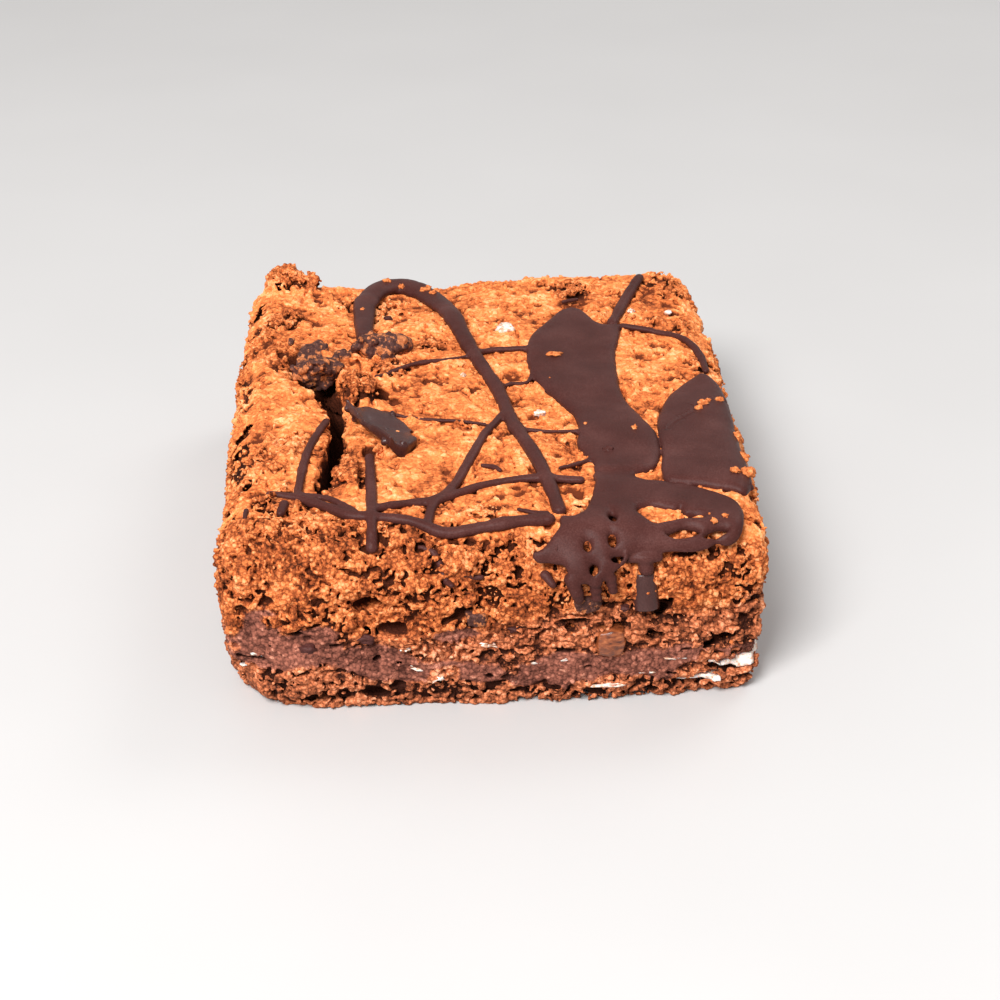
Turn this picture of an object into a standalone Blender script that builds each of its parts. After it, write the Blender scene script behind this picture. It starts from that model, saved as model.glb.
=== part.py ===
"""A square of smores brownie: three layers of crumb and fudge with marshmallow seams,
a cracked crust drizzled with chocolate, and pools, a shard and chunks set in the top.

X runs along the front face, Y goes to the back and Z is up. Lengths are in millimetres
until a mesh is finished, and in metres from then on.
"""

import math
import random

import bmesh
import bpy
from mathutils import Vector, noise

# Driving sizes of the whole square, in millimetres
WIDTH = 77.6
DEPTH = 96.4
CRUST_TOP = 26.7
SKEW = 0.026  # the side faces lean to the right as they go back
CORNER_PULL = 0.035  # how far the upright corners are rounded in, as a share of the half size
GAP = 0.32  # clearance between neighbouring pieces
METRE = 0.001
WELD = 0.002  # points nearer than this are one point

# Facets of the crumb
CRACK_CELL = 2.4
CRACK_FROM = -31.0  # the share of the width that has the finer cells of the crack
CRACK_TO = -17.0
CRUST_CELL = 3.9
SIDE_CELL = 3.6
FLAT_ANGLE = 3.0  # neighbouring facets that differ by less, in degrees, become one

# The edges of the crust: the width that is rounded off, and how far it comes down
FRONT_ROUND = 7.5
FRONT_DROP = 6.0
SIDE_ROUND = 4.0
LEFT_DROP = 3.2
RIGHT_DROP = 2.4
BACK_ROUND = 4.0
BACK_DROP = 1.8
BACK_DIP = 1.5  # the crust sinks towards the middle of the back edge

# Crumb relief on the cut faces and swells of the crust
CRAG_SIZE = 8.0
CRAG_DEPTH = 1.2
CRUMB_SIZE = 3.1
CRUMB_DEPTH = 0.8
SWELL_SIZE = 13.0
SWELL_HEIGHT = 0.75
TOP_RELIEF = 0.35
FLAKE_LEVEL = 14.0  # below this height the relief is flatter and longer
FLAKE_FLATNESS = 0.55

# The foot of the cut faces is worn in, most at the front left corner
FOOT_EDGE_PULL = 0.9
FOOT_EDGE_HEIGHT = 3.0
FOOT_CORNER_PULL = 5.5
FOOT_CORNER_SPAN = 9.0
FOOT_CORNER_HEIGHT = 11.0

# Layers, measured at the front face
FUDGE_FOOT = 3.7
FUDGE_HEAD = 8.8
FUDGE_FRONT_SPAN = 16.0  # how far in from the front face its lumps reach
FUDGE_CLIMBS = [(-35.0, 4.5, 6.5), (-27.0, 4.0, 5.0), (-17.0, 6.0, 2.0)]  # x, half width and height
FUDGE_FOOT_CLIMB = 3.8
MARSHMALLOW_LIFT = 1.0
FAR_BELOW = -5.0
FAR_ABOVE = 60.0

# The crack in the crust: (x, y, half width, depth) along its length
CRACK = [
    (-25.5, 12.0, 3.0, 5.0),
    (-23.8, 1.0, 2.0, 7.5),
    (-22.6, -6.0, 1.5, 8.0),
    (-22.3, -13.0, 1.4, 8.0),
    (-23.0, -19.5, 1.2, 7.0),
    (-24.2, -25.0, 1.0, 5.0),
    (-25.5, -30.0, 0.7, 2.5),
]

# Hollows broken out of the crumb: centre and half sizes
HOLLOWS = {
    "crater": ((-25.5, 9.0, 27.0), (5.0, 6.5, 5.5)),
    "crater_side": ((-29.5, 12.5, 26.5), (3.0, 2.2, 3.0)),
    "front_hole": ((-18.5, -49.0, 17.2), (2.7, 4.0, 1.9)),
    "front_hollow": ((-17.0, -49.6, 13.6), (4.2, 2.6, 2.6)),
    "corner_hollow": ((-39.4, -47.0, 20.2), (2.8, 3.4, 2.6)),
    "right_slot": ((30.7, -49.0, 10.2), (2.2, 2.4, 0.8)),
    "middle_slot": ((21.5, -49.0, 10.9), (1.8, 1.8, 0.7)),
    "foot_hole": ((-27.0, -48.0, 2.2), (2.2, 2.6, 1.1)),
    "shard_hole": ((-17.2, -20.5, 27.0), (2.8, 2.2, 3.0)),
    "back_pit": ((19.0, 39.5, 27.4), (2.4, 1.6, 1.6)),
}

# Lumps of crumb that stand on the crust: centre and half sizes
LUMPS = {
    "corner_nub": ((-32.5, 45.0, 26.4), (2.7, 2.4, 3.3)),
    "corner_nub_low": ((-28.2, 45.2, 26.0), (2.4, 2.2, 2.5)),
    "boulder": ((-18.6, -1.0, 26.4), (3.0, 6.0, 3.4)),
    "crack_crumbs": ((-20.3, -27.5, 26.2), (2.4, 4.5, 2.0)),
    "corner_flake": ((-30.4, -34.5, 26.0), (3.2, 2.4, 1.9)),
    "front_flake": ((-6.0, -46.4, 23.4), (4.0, 2.2, 1.6)),
}

LUMP_ROUGHNESS = 0.14
HOLLOW_ROUGHNESS = 0.2

# Small lumps that stand out of the cut faces, at a seeded spread of places
FACE_LUMPS = 46
FACE_LUMP_ROUGHNESS = 0.2
LUMP_SEED = 11
LUMP_SIZES = (1.3, 2.3)

# Drizzle strands: points (x, y, half width) on the crust
STRANDS = {
    "arch": [
        (-18.0, 20.0, 1.4), (-18.0, 28.0, 1.7), (-17.5, 36.5, 2.1), (-14.8, 43.4, 2.2), (-11.0, 45.2, 2.2),
        (-7.4, 41.5, 2.1), (-4.0, 32.0, 1.8), (-1.6, 19.0, 1.4), (0.6, 9.0, 1.2), (2.6, 0.0, 1.15),
        (4.0, -12.0, 1.1), (6.5, -25.0, 1.1), (8.0, -35.0, 1.05), (8.4, -39.5, 1.0),
    ],
    "branch": [
        (2.6, -9.0, 0.7), (-0.5, -15.5, 0.7), (-3.0, -22.5, 0.75), (-6.0, -30.5, 0.75), (-9.0, -35.5, 0.75),
        (-10.2, -41.0, 0.7),
    ],
    "middle": [
        (12.2, -31.3, 0.65), (5.5, -30.3, 0.7), (-1.0, -30.8, 0.7), (-5.0, -32.5, 0.75), (-9.5, -35.2, 0.8),
        (-13.5, -36.2, 0.7), (-17.5, -37.6, 0.7),
    ],
    "left": [
        (-24.4, -9.0, 0.6), (-25.6, -13.0, 0.65), (-27.0, -19.0, 0.7), (-28.0, -26.0, 0.7), (-28.6, -31.8, 0.65),
    ],
    "upright": [(-18.0, -22.0, 0.75), (-18.0, -30.0, 0.8), (-18.0, -38.0, 0.85), (-18.2, -45.0, 0.8)],
    "lower": [
        (-32.5, -31.3, 0.6), (-28.5, -32.6, 0.8), (-25.0, -35.4, 0.85), (-21.2, -39.2, 0.8), (-18.0, -40.0, 0.8),
        (-12.5, -41.2, 0.85), (-8.0, -43.4, 0.95), (-2.0, -43.0, 1.0), (3.0, -42.2, 1.0), (6.6, -41.9, 0.95),
    ],
    "lower_twin": [(-28.0, -31.8, 0.5), (-24.4, -33.4, 0.55), (-22.0, -36.2, 0.55), (-20.4, -38.6, 0.5)],
    "back_spur": [(23.6, 24.0, 0.95), (26.5, 32.0, 0.95), (30.5, 42.0, 0.9)],
    "back_loop": [
        (25.0, 22.6, 0.6), (30.0, 20.6, 0.6), (34.2, 17.2, 0.65), (36.2, 11.5, 0.65), (36.4, 5.0, 0.65),
    ],
}

# Chocolate pools: outline points (x, y), run round anticlockwise from above
POOLS = {
    "chocolate_pool_back": [
        (14.5, 28.0), (12.0, 23.5), (9.3, 18.5), (8.2, 13.0), (8.2, 7.0), (9.4, 1.0), (11.6, -5.0), (13.6, -10.5),
        (13.6, -15.5), (13.0, -20.5), (14.6, -26.0), (15.0, -29.4), (21.0, -29.6), (23.8, -27.6), (25.1, -23.0),
        (25.2, -18.0), (23.6, -11.0), (22.0, -4.0), (22.0, 4.0), (22.6, 11.5), (24.2, 19.0), (24.6, 22.6),
        (22.0, 22.8), (20.4, 24.6), (18.9, 28.4), (16.8, 29.6),
    ],
    "chocolate_pool_right": [
        (33.0, 1.6), (29.4, -3.4), (27.4, -9.0), (26.6, -14.5), (26.8, -19.0), (25.8, -24.5), (24.9, -30.0),
        (25.6, -33.2), (29.0, -34.4), (33.0, -35.8), (35.6, -36.6), (37.2, -32.0), (37.4, -24.0), (37.8, -14.0),
        (38.2, -6.0), (37.6, 0.0), (35.4, 2.8),
    ],
    "chocolate_pool_front": [
        (15.2, -30.1), (14.6, -34.0), (13.0, -38.0), (10.4, -41.2), (7.6, -41.6), (7.3, -44.0), (3.8, -46.1),
        (6.6, -47.4), (9.0, -48.4), (9.9, -49.7), (12.8, -49.7), (14.6, -48.2), (17.2, -47.0), (20.6, -44.9),
        (25.0, -45.2), (29.0, -44.8), (32.0, -44.3), (34.4, -42.0), (34.2, -39.8), (31.4, -37.2), (26.5, -35.2),
        (21.8, -33.9), (20.2, -31.4), (19.6, -30.1),
    ],
}
POOL_RISE = 1.0  # how high a pool stands over the crust
POOL_SUNK = 0.9
POOL_RIM = 0.55
POOL_CELL = 5.2
POOL_DRAPE = 0.75  # share of the crust's fall that a pool follows at the front edge
POOL_OVERHANG = 2.6  # how far past the front edge that fall starts
POOL_SIDE_DRAPE = 0.6  # the same share at the right edge

# Windows in the front pool through which crust shows: centre, half sizes and turn in degrees
WINDOWS = [
    ((23.6, -40.0), (3.9, 1.0), -6.0),
    ((25.2, -42.6), (1.8, 0.55), 4.0),
    ((29.8, -42.6), (1.2, 0.6), 10.0),
]
WINDOW_DEPTH = 24.0

# Lumpy pieces set in the top: centre, half sizes, turn about Z in degrees and roughness
CHUNKS = {
    "chocolate_chunk_left": ((-24.8, 10.2, 27.2), (3.9, 5.6, 2.6), -12.0, 0.3),
    "chocolate_chunk_right": ((-14.8, 16.0, 27.7), (6.0, 2.6, 1.9), 12.0, 0.3),
}

# The broken sheet of chocolate that leans in the crack
SHARD_LENGTH = 14.0
SHARD_WIDTH = 7.5
SHARD_THICKNESS = 1.3
SHARD_CURL = 1.6
SHARD_CENTRE = (-15.8, -14.0, 27.2)
SHARD_TURN = -66.0
SHARD_TILT = 16.0

# The stub of chocolate on the front face, under the front pool
STUB_RADIUS = 1.95
STUB_TAPER = 0.92  # radius of its foot as a share of the radius of its top
STUB_TOP = (19.6, -47.0, 20.9)
STUB_FOOT = (20.0, -48.0, 15.6)

# Blocks sunk in the front face: centre and full sizes
CHIPS = {
    "toffee_chip": ((15.0, -47.6, 10.3), (3.7, 3.4, 4.0)),
    "chocolate_chip_left": ((-4.0, -47.7, 14.8), (2.9, 2.8, 2.2)),
    "chocolate_chip_right": ((11.6, -47.9, 16.9), (3.6, 2.6, 1.9)),
}

# Marshmallow ribbons: middle x and z at the front, half width, half thickness
RIBBONS = {
    "marshmallow_ribbon_high": (34.6, 4.9, 4.6, 0.95),
    "marshmallow_ribbon_low": (28.8, 2.8, 3.6, 0.7),
}
RIBBON_WANDER = 1.6
RIBBON_WAVE = 0.35

# Finishes: colour and roughness
FINISHES = {
    "baked crust": ((0.60, 0.25, 0.10), 0.8),
    "fudge": ((0.20, 0.09, 0.06), 0.55),
    "brownie crumb": ((0.38, 0.15, 0.07), 0.85),
    "dark chocolate": ((0.075, 0.035, 0.030), 0.38),
    "toffee": ((0.42, 0.17, 0.05), 0.4),
    "marshmallow": ((0.90, 0.86, 0.80), 0.7),
}


def clear_scene():
    for thing in list(bpy.data.objects):
        bpy.data.objects.remove(thing, do_unlink=True)


def new_collection(name):
    made = bpy.data.collections.new(name)
    bpy.context.scene.collection.children.link(made)
    return made


def material(name, colour, roughness):
    """A plain Principled finish."""
    made = bpy.data.materials.new(name)
    made.use_nodes = True
    shader = made.node_tree.nodes["Principled BSDF"]
    shader.inputs["Base Color"].default_value = (*colour, 1.0)
    shader.inputs["Roughness"].default_value = roughness
    shader.inputs["Metallic"].default_value = 0.0
    made.diffuse_color = (*colour, 1.0)
    return made


def clamp(value, low=0.0, high=1.0):
    return max(low, min(high, value))


def wave(x, y, z, size, seed):
    """Smooth noise between about -1 and 1, with features of the given size."""
    return noise.noise(Vector((x / size + seed, y / size - seed, z / size + 0.37 * seed)))


def lean(y):
    """The sideways shift of the cut faces at depth y."""
    return SKEW * y


def rounded(distance, width, drop):
    """How far an edge has come down at a distance from it, as a quarter round."""
    return drop * clamp(1.0 - distance / width) ** 2


def crust(x, y):
    """The height of the crust before anything is broken out of it."""
    across = x - lean(y)
    height = CRUST_TOP + SWELL_HEIGHT * wave(x, y, 0.0, SWELL_SIZE, 3.1)
    dip = math.exp(-(((x + 8.0) / 15.0) ** 2)) * clamp((y - 26.0) / 18.0)
    height -= BACK_DIP * dip
    height -= rounded(y + DEPTH / 2, FRONT_ROUND, FRONT_DROP)
    height -= rounded(DEPTH / 2 - y, BACK_ROUND, BACK_DROP)
    height -= rounded(across + WIDTH / 2, SIDE_ROUND, LEFT_DROP)
    height -= rounded(WIDTH / 2 - across, SIDE_ROUND, RIGHT_DROP)
    return height


def side_relief(x, y, z):
    """Crags and crumbs of a cut face, flatter and longer towards the foot."""
    flat = FLAKE_FLATNESS if z < FLAKE_LEVEL else 1.0
    crags = CRAG_DEPTH * wave(x, y, z / flat, CRAG_SIZE, 7.7)
    crumbs = CRUMB_DEPTH * wave(x, y, z / flat, CRUMB_SIZE, 1.9)
    return crags + crumbs


def foot_pull(x, y, z):
    """How far the foot of the cut faces is worn in, most at the front left corner."""
    edge = FOOT_EDGE_PULL * clamp(1.0 - z / FOOT_EDGE_HEIGHT) ** 2
    from_side, from_front = (x + WIDTH / 2) / FOOT_CORNER_SPAN, (y + DEPTH / 2) / FOOT_CORNER_SPAN
    corner = math.exp(-(from_side**2) - from_front**2)
    return edge + FOOT_CORNER_PULL * corner * clamp(1.0 - z / FOOT_CORNER_HEIGHT) ** 1.6


def outer_form(u, v, w):
    """A point of the whole square. u and v run from -1 to 1, and w from 0 at the foot to 1."""
    x = u * WIDTH / 2 * (1.0 - CORNER_PULL * abs(v) ** 8)
    y = v * DEPTH / 2 * (1.0 - CORNER_PULL * abs(u) ** 8)
    z = w * crust(x + lean(y), y)
    out = side_relief(x, y, z) - foot_pull(x, y, z)
    if abs(u) > 0.999:
        x += out * math.copysign(1.0, u)
    if abs(v) > 0.999:
        y += out * math.copysign(1.0, v)
    if w > 0.999:
        z += TOP_RELIEF * wave(x, y, 0.0, CRUMB_SIZE, 5.3)
    return Vector((x + lean(y), y, z))


def steps(low, high, cell):
    """Places between low and high, about one cell apart, with neither end."""
    count = max(1, round((high - low) / cell))
    return [low + (high - low) * index / count for index in range(1, count)]


def loop_cut(bm, axis, places):
    """Slice a mesh across an axis at each place."""
    for place in places:
        point = Vector((0.0, 0.0, 0.0))
        normal = Vector((0.0, 0.0, 0.0))
        point[axis] = place
        normal[axis] = 1.0
        everything = bm.verts[:] + bm.edges[:] + bm.faces[:]
        bmesh.ops.bisect_plane(bm, geom=everything, plane_co=point, plane_no=normal, dist=1e-6)


def unit_block(cuts_u, cuts_v, cuts_w):
    """A box from -1 to 1 across and 0 to 1 up, with loop cuts."""
    bm = bmesh.new()
    bmesh.ops.create_cube(bm, size=2.0)
    for vertex in bm.verts:
        vertex.co.z = (vertex.co.z + 1.0) / 2.0
    loop_cut(bm, 0, cuts_u)
    loop_cut(bm, 1, cuts_v)
    loop_cut(bm, 2, cuts_w)
    return bm


def finish(bm, name, collection, finish_material=None):
    """Turn a mesh in millimetres into a named object in metres."""
    bmesh.ops.triangulate(bm, faces=bm.faces[:])
    bmesh.ops.recalc_face_normals(bm, faces=bm.faces[:])
    bmesh.ops.scale(bm, vec=Vector((METRE, METRE, METRE)), verts=bm.verts[:])
    data = bpy.data.meshes.new(name)
    bm.to_mesh(data)
    bm.free()
    made = bpy.data.objects.new(name, data)
    collection.objects.link(made)
    if finish_material:
        data.materials.append(finish_material)
    return made


def rock(name, centre, radii, turn, roughness, collection, finish_material=None, detail=2):
    """A lumpy ball: an icosphere pushed in and out by noise."""
    bm = bmesh.new()
    bmesh.ops.create_icosphere(bm, subdivisions=detail, radius=1.0)
    seed = 0.1 * (centre[0] + centre[1] + centre[2])
    angle = math.radians(turn)
    for vertex in bm.verts:
        swell = 1.0 + roughness * wave(*vertex.co, 0.55, seed) + roughness * wave(*vertex.co, 1.3, seed)
        p = Vector((vertex.co.x * radii[0], vertex.co.y * radii[1], vertex.co.z * radii[2])) * swell
        vertex.co = (
            centre[0] + p.x * math.cos(angle) - p.y * math.sin(angle),
            centre[1] + p.x * math.sin(angle) + p.y * math.cos(angle),
            centre[2] + p.z,
        )
    return finish(bm, name, collection, finish_material)


def face_lumps(collection):
    """Crumbs that stand out of the four cut faces, spread round the square by a seeded draw."""
    draw = random.Random(LUMP_SEED)
    lumps = []
    for index in range(FACE_LUMPS):
        around = 4.0 * (index + draw.uniform(0.2, 0.8)) / FACE_LUMPS
        side, along = int(around), 1.8 * (around % 1.0) - 0.9
        u, v = [(along, -1.0), (1.0, along), (-along, 1.0), (-1.0, -along)][side]
        place = outer_form(u, v, draw.uniform(0.08, 0.86))
        size = draw.uniform(*LUMP_SIZES)
        inward = Vector((-u if side % 2 else 0.0, -v if not side % 2 else 0.0, 0.0)) * 0.55 * size
        radii = (size * draw.uniform(0.8, 1.2), size * draw.uniform(0.8, 1.2), size * draw.uniform(0.6, 0.9))
        centre = place + inward
        centre.z = max(centre.z, radii[2] + 0.8)
        lumps.append(rock(f"face_lump_{index}", centre, radii, 0.0, FACE_LUMP_ROUGHNESS, collection, None, 1))
    return lumps


def whole_square(collection):
    """The outer form, with finer cells over the crack."""
    half = WIDTH / 2
    across = steps(-half, CRACK_FROM, CRUST_CELL) + [CRACK_FROM] + steps(CRACK_FROM, CRACK_TO, CRACK_CELL)
    across += [CRACK_TO] + steps(CRACK_TO, half, CRUST_CELL)
    along = steps(-DEPTH / 2, DEPTH / 2, CRUST_CELL)
    up = steps(0.0, CRUST_TOP, SIDE_CELL)
    bm = unit_block([x / half for x in across], [2 * y / DEPTH for y in along], [z / CRUST_TOP for z in up])
    for vertex in bm.verts:
        vertex.co = outer_form(*vertex.co)
    foot = [face for face in bm.faces if all(abs(vertex.co.z) < 1e-6 for vertex in face.verts)]
    bmesh.ops.dissolve_faces(bm, faces=foot, use_verts=True)
    return finish(bm, "whole_square", collection)


def near_front(y):
    """1 at the front face, and falling to 0 a few steps in."""
    return math.exp(-(((y + DEPTH / 2) / FUDGE_FRONT_SPAN) ** 2))


def fudge_top(x, y):
    """The upper side of the fudge, which climbs in lumps at the front left."""
    climb = sum(height * math.exp(-(((x - middle) / half) ** 2)) for middle, half, height in FUDGE_CLIMBS)
    return FUDGE_HEAD + climb * near_front(y) + 1.1 * wave(x, y, 0.0, 17.0, 2.2)


def fudge_foot(x, y):
    """The underside of the fudge, which the marshmallow lifts at the right."""
    climb = FUDGE_FOOT_CLIMB * clamp((-14.0 - x) / 10.0) * near_front(y)
    climb += MARSHMALLOW_LIFT * clamp((x - 22.0) / 8.0)
    return FUDGE_FOOT + climb + 0.5 * wave(x, y, 0.0, 14.0, 6.1)


def layer_block(name, low, high, collection):
    """A block wider than the square, between two wavy heights, that one layer is cut with."""
    bm = unit_block(steps(-1.0, 1.0, 2.0 / 10), steps(-1.0, 1.0, 2.0 / 8), [])
    for vertex in bm.verts:
        x = vertex.co.x * (WIDTH / 2 + 6.0)
        y = vertex.co.y * (DEPTH / 2 + 6.0)
        z = high(x, y) if vertex.co.z > 0.5 else low(x, y)
        vertex.co = (x, y, z)
    return finish(bm, name, collection)


def crack_blade(collection):
    """The wedge that opens the crack: wide at the top and narrow at its bed."""
    count = len(CRACK) - 1
    bm = unit_block([0.0], steps(-1.0, 1.0, 2.0 / (3 * count)), [0.5])
    for vertex in bm.verts:
        side, along, up = vertex.co
        place = (along + 1.0) / 2.0 * count
        index = min(int(place), count - 1)
        near, far = CRACK[index], CRACK[index + 1]
        x, y, half, deep = [a + (b - a) * (place - index) for a, b in zip(near, far)]
        top = 32.0
        z = (CRUST_TOP - deep) + (top - CRUST_TOP + deep) * up
        spread = half * (0.35 + 0.75 * clamp(2.0 * up))
        x += side * spread + 0.7 * wave(x, y, 4.0 * up, 3.5, 4.4)
        vertex.co = (x, y, z)
    return finish(bm, "crack_blade", collection)


def smooth_route(points, per_span):
    """Points along a smooth curve through the given ones, as a Catmull-Rom spline."""
    route = []
    for index in range(len(points) - 1):
        p0 = Vector(points[max(index - 1, 0)])
        p1 = Vector(points[index])
        p2 = Vector(points[index + 1])
        p3 = Vector(points[min(index + 2, len(points) - 1)])
        for step in range(per_span):
            t = step / per_span
            route.append(
                0.5 * (2.0 * p1 + (p2 - p0) * t + (2.0 * p0 - 5.0 * p1 + 4.0 * p2 - p3) * t**2
                       + (3.0 * p1 - p0 - 3.0 * p2 + p3) * t**3)
            )
    route.append(Vector(points[-1]))
    return route


def strand(name, points, collection):
    """A string of chocolate that lies on the crust, as a bevelled curve made into a mesh."""
    route = smooth_route(points, 2)
    curve = bpy.data.curves.new(name, "CURVE")
    curve.dimensions = "3D"
    curve.bevel_depth = METRE
    curve.bevel_resolution = 1
    curve.use_fill_caps = True
    spline = curve.splines.new("POLY")
    spline.points.add(len(route) - 1)
    for point, (x, y, half) in zip(spline.points, route):
        height = crust(x, y) + 0.25 * half
        point.co = (x * METRE, y * METRE, height * METRE, 1.0)
        point.radius = half
    guide = bpy.data.objects.new(name, curve)
    collection.objects.link(guide)
    return curve_to_mesh(guide, collection, WELD * METRE)


def curve_to_mesh(guide, collection, weld):
    """A mesh object from a curve, with its caps welded on and the curve removed."""
    bpy.context.view_layer.update()
    evaluated = guide.evaluated_get(bpy.context.evaluated_depsgraph_get())
    data = bpy.data.meshes.new_from_object(evaluated)
    bm = bmesh.new()
    bm.from_mesh(data)
    bmesh.ops.remove_doubles(bm, verts=bm.verts[:], dist=weld)
    bmesh.ops.recalc_face_normals(bm, faces=bm.faces[:])
    bm.to_mesh(data)
    bm.free()
    name = guide.name
    made = bpy.data.objects.new(name + "_mesh", data)
    made.matrix_world = guide.matrix_world
    collection.objects.link(made)
    bpy.data.objects.remove(guide, do_unlink=True)
    return made


def pool(name, outline, collection, finish_material):
    """A poured puddle: a flat outline with a worn rim, cut into cells and laid over the crust."""
    ring = smooth_route([(x, y, 0.0) for x, y in outline + outline[:1]], 1)[:-1]
    curve = bpy.data.curves.new(name, "CURVE")
    curve.dimensions = "2D"
    curve.fill_mode = "BOTH"
    curve.extrude = (POOL_RISE + POOL_SUNK) / 2
    spline = curve.splines.new("POLY")
    spline.points.add(len(ring) - 1)
    spline.use_cyclic_u = True
    for point, place in zip(spline.points, ring):
        point.co = (place[0], place[1], 0.0, 1.0)
    guide = bpy.data.objects.new(name, curve)
    collection.objects.link(guide)
    flat = curve_to_mesh(guide, collection, WELD)
    bm = bmesh.new()
    bm.from_mesh(flat.data)
    bpy.data.objects.remove(flat, do_unlink=True)
    for side in (-1.0, 1.0):
        cap = [face for face in bm.faces if face.normal.z * side > 0.5]
        bmesh.ops.dissolve_faces(bm, faces=cap)
    rim = [edge for edge in bm.edges if all(vertex.co.z > 0.0 for vertex in edge.verts)]
    bmesh.ops.bevel(bm, geom=rim, offset=POOL_RIM, segments=1, affect="EDGES", clamp_overlap=True)
    loop_cut(bm, 0, steps(-WIDTH / 2, WIDTH / 2, POOL_CELL))
    loop_cut(bm, 1, steps(-DEPTH / 2 - 4.0, DEPTH / 2, POOL_CELL))
    for vertex in bm.verts:
        vertex.co.z += pool_level(vertex.co.x, vertex.co.y)
    return finish(bm, name, collection, finish_material)


def pool_level(x, y):
    """The height of the middle of a pool, which follows the crust and hangs over its edges."""
    fall = POOL_DRAPE * rounded(y + DEPTH / 2 + POOL_OVERHANG, FRONT_ROUND, 1.25 * FRONT_DROP)
    fall += POOL_SIDE_DRAPE * rounded(WIDTH / 2 - x + lean(y), SIDE_ROUND, RIGHT_DROP)
    return CRUST_TOP + SWELL_HEIGHT * wave(x, y, 0.0, SWELL_SIZE, 3.1) - fall + (POOL_RISE - POOL_SUNK) / 2


def window_cutter(index, centre, half, turn, collection):
    """An oval plug that opens a window in a pool."""
    bm = bmesh.new()
    bmesh.ops.create_cone(bm, cap_ends=True, segments=8, radius1=1.0, radius2=1.0, depth=WINDOW_DEPTH)
    angle = math.radians(turn)
    for vertex in bm.verts:
        x, y = half[0] * vertex.co.x, half[1] * vertex.co.y
        vertex.co.x = centre[0] + x * math.cos(angle) - y * math.sin(angle)
        vertex.co.y = centre[1] + x * math.sin(angle) + y * math.cos(angle)
        vertex.co.z += CRUST_TOP
    return finish(bm, f"window_{index}", collection)


def shard(collection, finish_material):
    """A curled plate of chocolate with one edge rolled up, tilted in the crack."""
    bm = unit_block(steps(-1.0, 1.0, 2.0 / 8), steps(-1.0, 1.0, 2.0 / 6), [])
    turn, tilt = math.radians(SHARD_TURN), math.radians(SHARD_TILT)
    for vertex in bm.verts:
        u, v, w = vertex.co
        length = SHARD_LENGTH / 2 * u * (1.0 - 0.35 * clamp(-v))
        width = SHARD_WIDTH / 2 * v * (1.0 - 0.25 * clamp(u) + 0.1 * wave(u, v, 0.0, 0.8, 9.0))
        rise = SHARD_CURL * clamp(v) ** 2 + (w - 0.5) * SHARD_THICKNESS + 0.3 * wave(u, v, 0.0, 1.0, 4.0)
        tipped = (width * math.cos(tilt) - rise * math.sin(tilt), width * math.sin(tilt) + rise * math.cos(tilt))
        x = SHARD_CENTRE[0] + length * math.cos(turn) + tipped[0] * math.sin(turn)
        y = SHARD_CENTRE[1] + length * math.sin(turn) - tipped[0] * math.cos(turn)
        vertex.co = (x, y, SHARD_CENTRE[2] + tipped[1])
    return finish(bm, "chocolate_shard", collection, finish_material)


def stub(collection, finish_material):
    """A short round stub of chocolate, broken off square at its foot."""
    top, foot = Vector(STUB_TOP), Vector(STUB_FOOT)
    axis = top - foot
    bm = bmesh.new()
    bmesh.ops.create_cone(
        bm, cap_ends=True, segments=14, radius1=STUB_TAPER * STUB_RADIUS, radius2=STUB_RADIUS, depth=axis.length
    )
    turn = Vector((0.0, 0.0, 1.0)).rotation_difference(axis).to_matrix()
    for vertex in bm.verts:
        vertex.co = turn @ vertex.co + (top + foot) / 2
    return finish(bm, "chocolate_stub", collection, finish_material)


def chip(name, centre, size, collection, finish_material):
    """A block of toffee or chocolate with worn edges, sunk in the front face."""
    bm = unit_block([0.0], [0.0], [0.5])
    for vertex in bm.verts:
        p = Vector((vertex.co.x, vertex.co.y, 2.0 * vertex.co.z - 1.0))
        worn = 1.0 - 0.10 * max(0.0, p.length_squared - 1.0)
        p *= worn + 0.08 * wave(*p, 1.1, centre[0])
        vertex.co = Vector(centre) + Vector((p.x * size[0], p.y * size[1], p.z * size[2])) / 2
    return finish(bm, name, collection, finish_material)


def ribbon(name, place, grow, collection, finish_material=None):
    """A flat lens of marshmallow that runs through the food from front to back."""
    middle, level, half, thick = place
    bm = unit_block(steps(-1.0, 1.0, 0.5), steps(-1.0, 1.0, 2.0 / 9), [])
    for vertex in bm.verts:
        u, v, w = vertex.co
        y = v * (DEPTH / 2 + 3.0)
        wander = wave(0.0, y, level, 15.0, middle)
        x = middle + RIBBON_WANDER * wander * clamp((y + DEPTH / 2) / 20.0) + u * (half + grow)
        z = level + RIBBON_WAVE * wave(x, y, 0.0, 8.0, middle) + (2.0 * w - 1.0) * (thick * (1.0 - 0.75 * u**2) + grow)
        vertex.co = (x + lean(y), y, z)
    return finish(bm, name, collection, finish_material)


def fattened(source, collection):
    """A copy of a piece, larger by the clearance all round."""
    data = source.data.copy()
    copy = bpy.data.objects.new(source.name + "_clearance", data)
    collection.objects.link(copy)
    normals = [vertex.normal.copy() for vertex in data.vertices]
    for vertex, normal in zip(data.vertices, normals):
        vertex.co += normal * GAP * METRE
    return copy


def combine(target, operation, others):
    """Join the others to the target, or cut them from it, all in one step, and remove none."""
    group = bpy.data.collections.new(target.name + "_" + operation.lower())
    for other in others:
        group.objects.link(other)
    boolean = target.modifiers.new(operation.title(), "BOOLEAN")
    boolean.operation = operation
    boolean.solver = "EXACT"
    boolean.operand_type = "COLLECTION"
    boolean.collection = group
    apply_modifiers(target)
    bpy.data.collections.remove(group)


def apply_modifiers(target):
    """Replace an object's mesh with what its modifiers make of it."""
    bpy.context.view_layer.update()
    evaluated = target.evaluated_get(bpy.context.evaluated_depsgraph_get())
    data = bpy.data.meshes.new_from_object(evaluated)
    target.modifiers.clear()
    target.data = data


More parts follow.
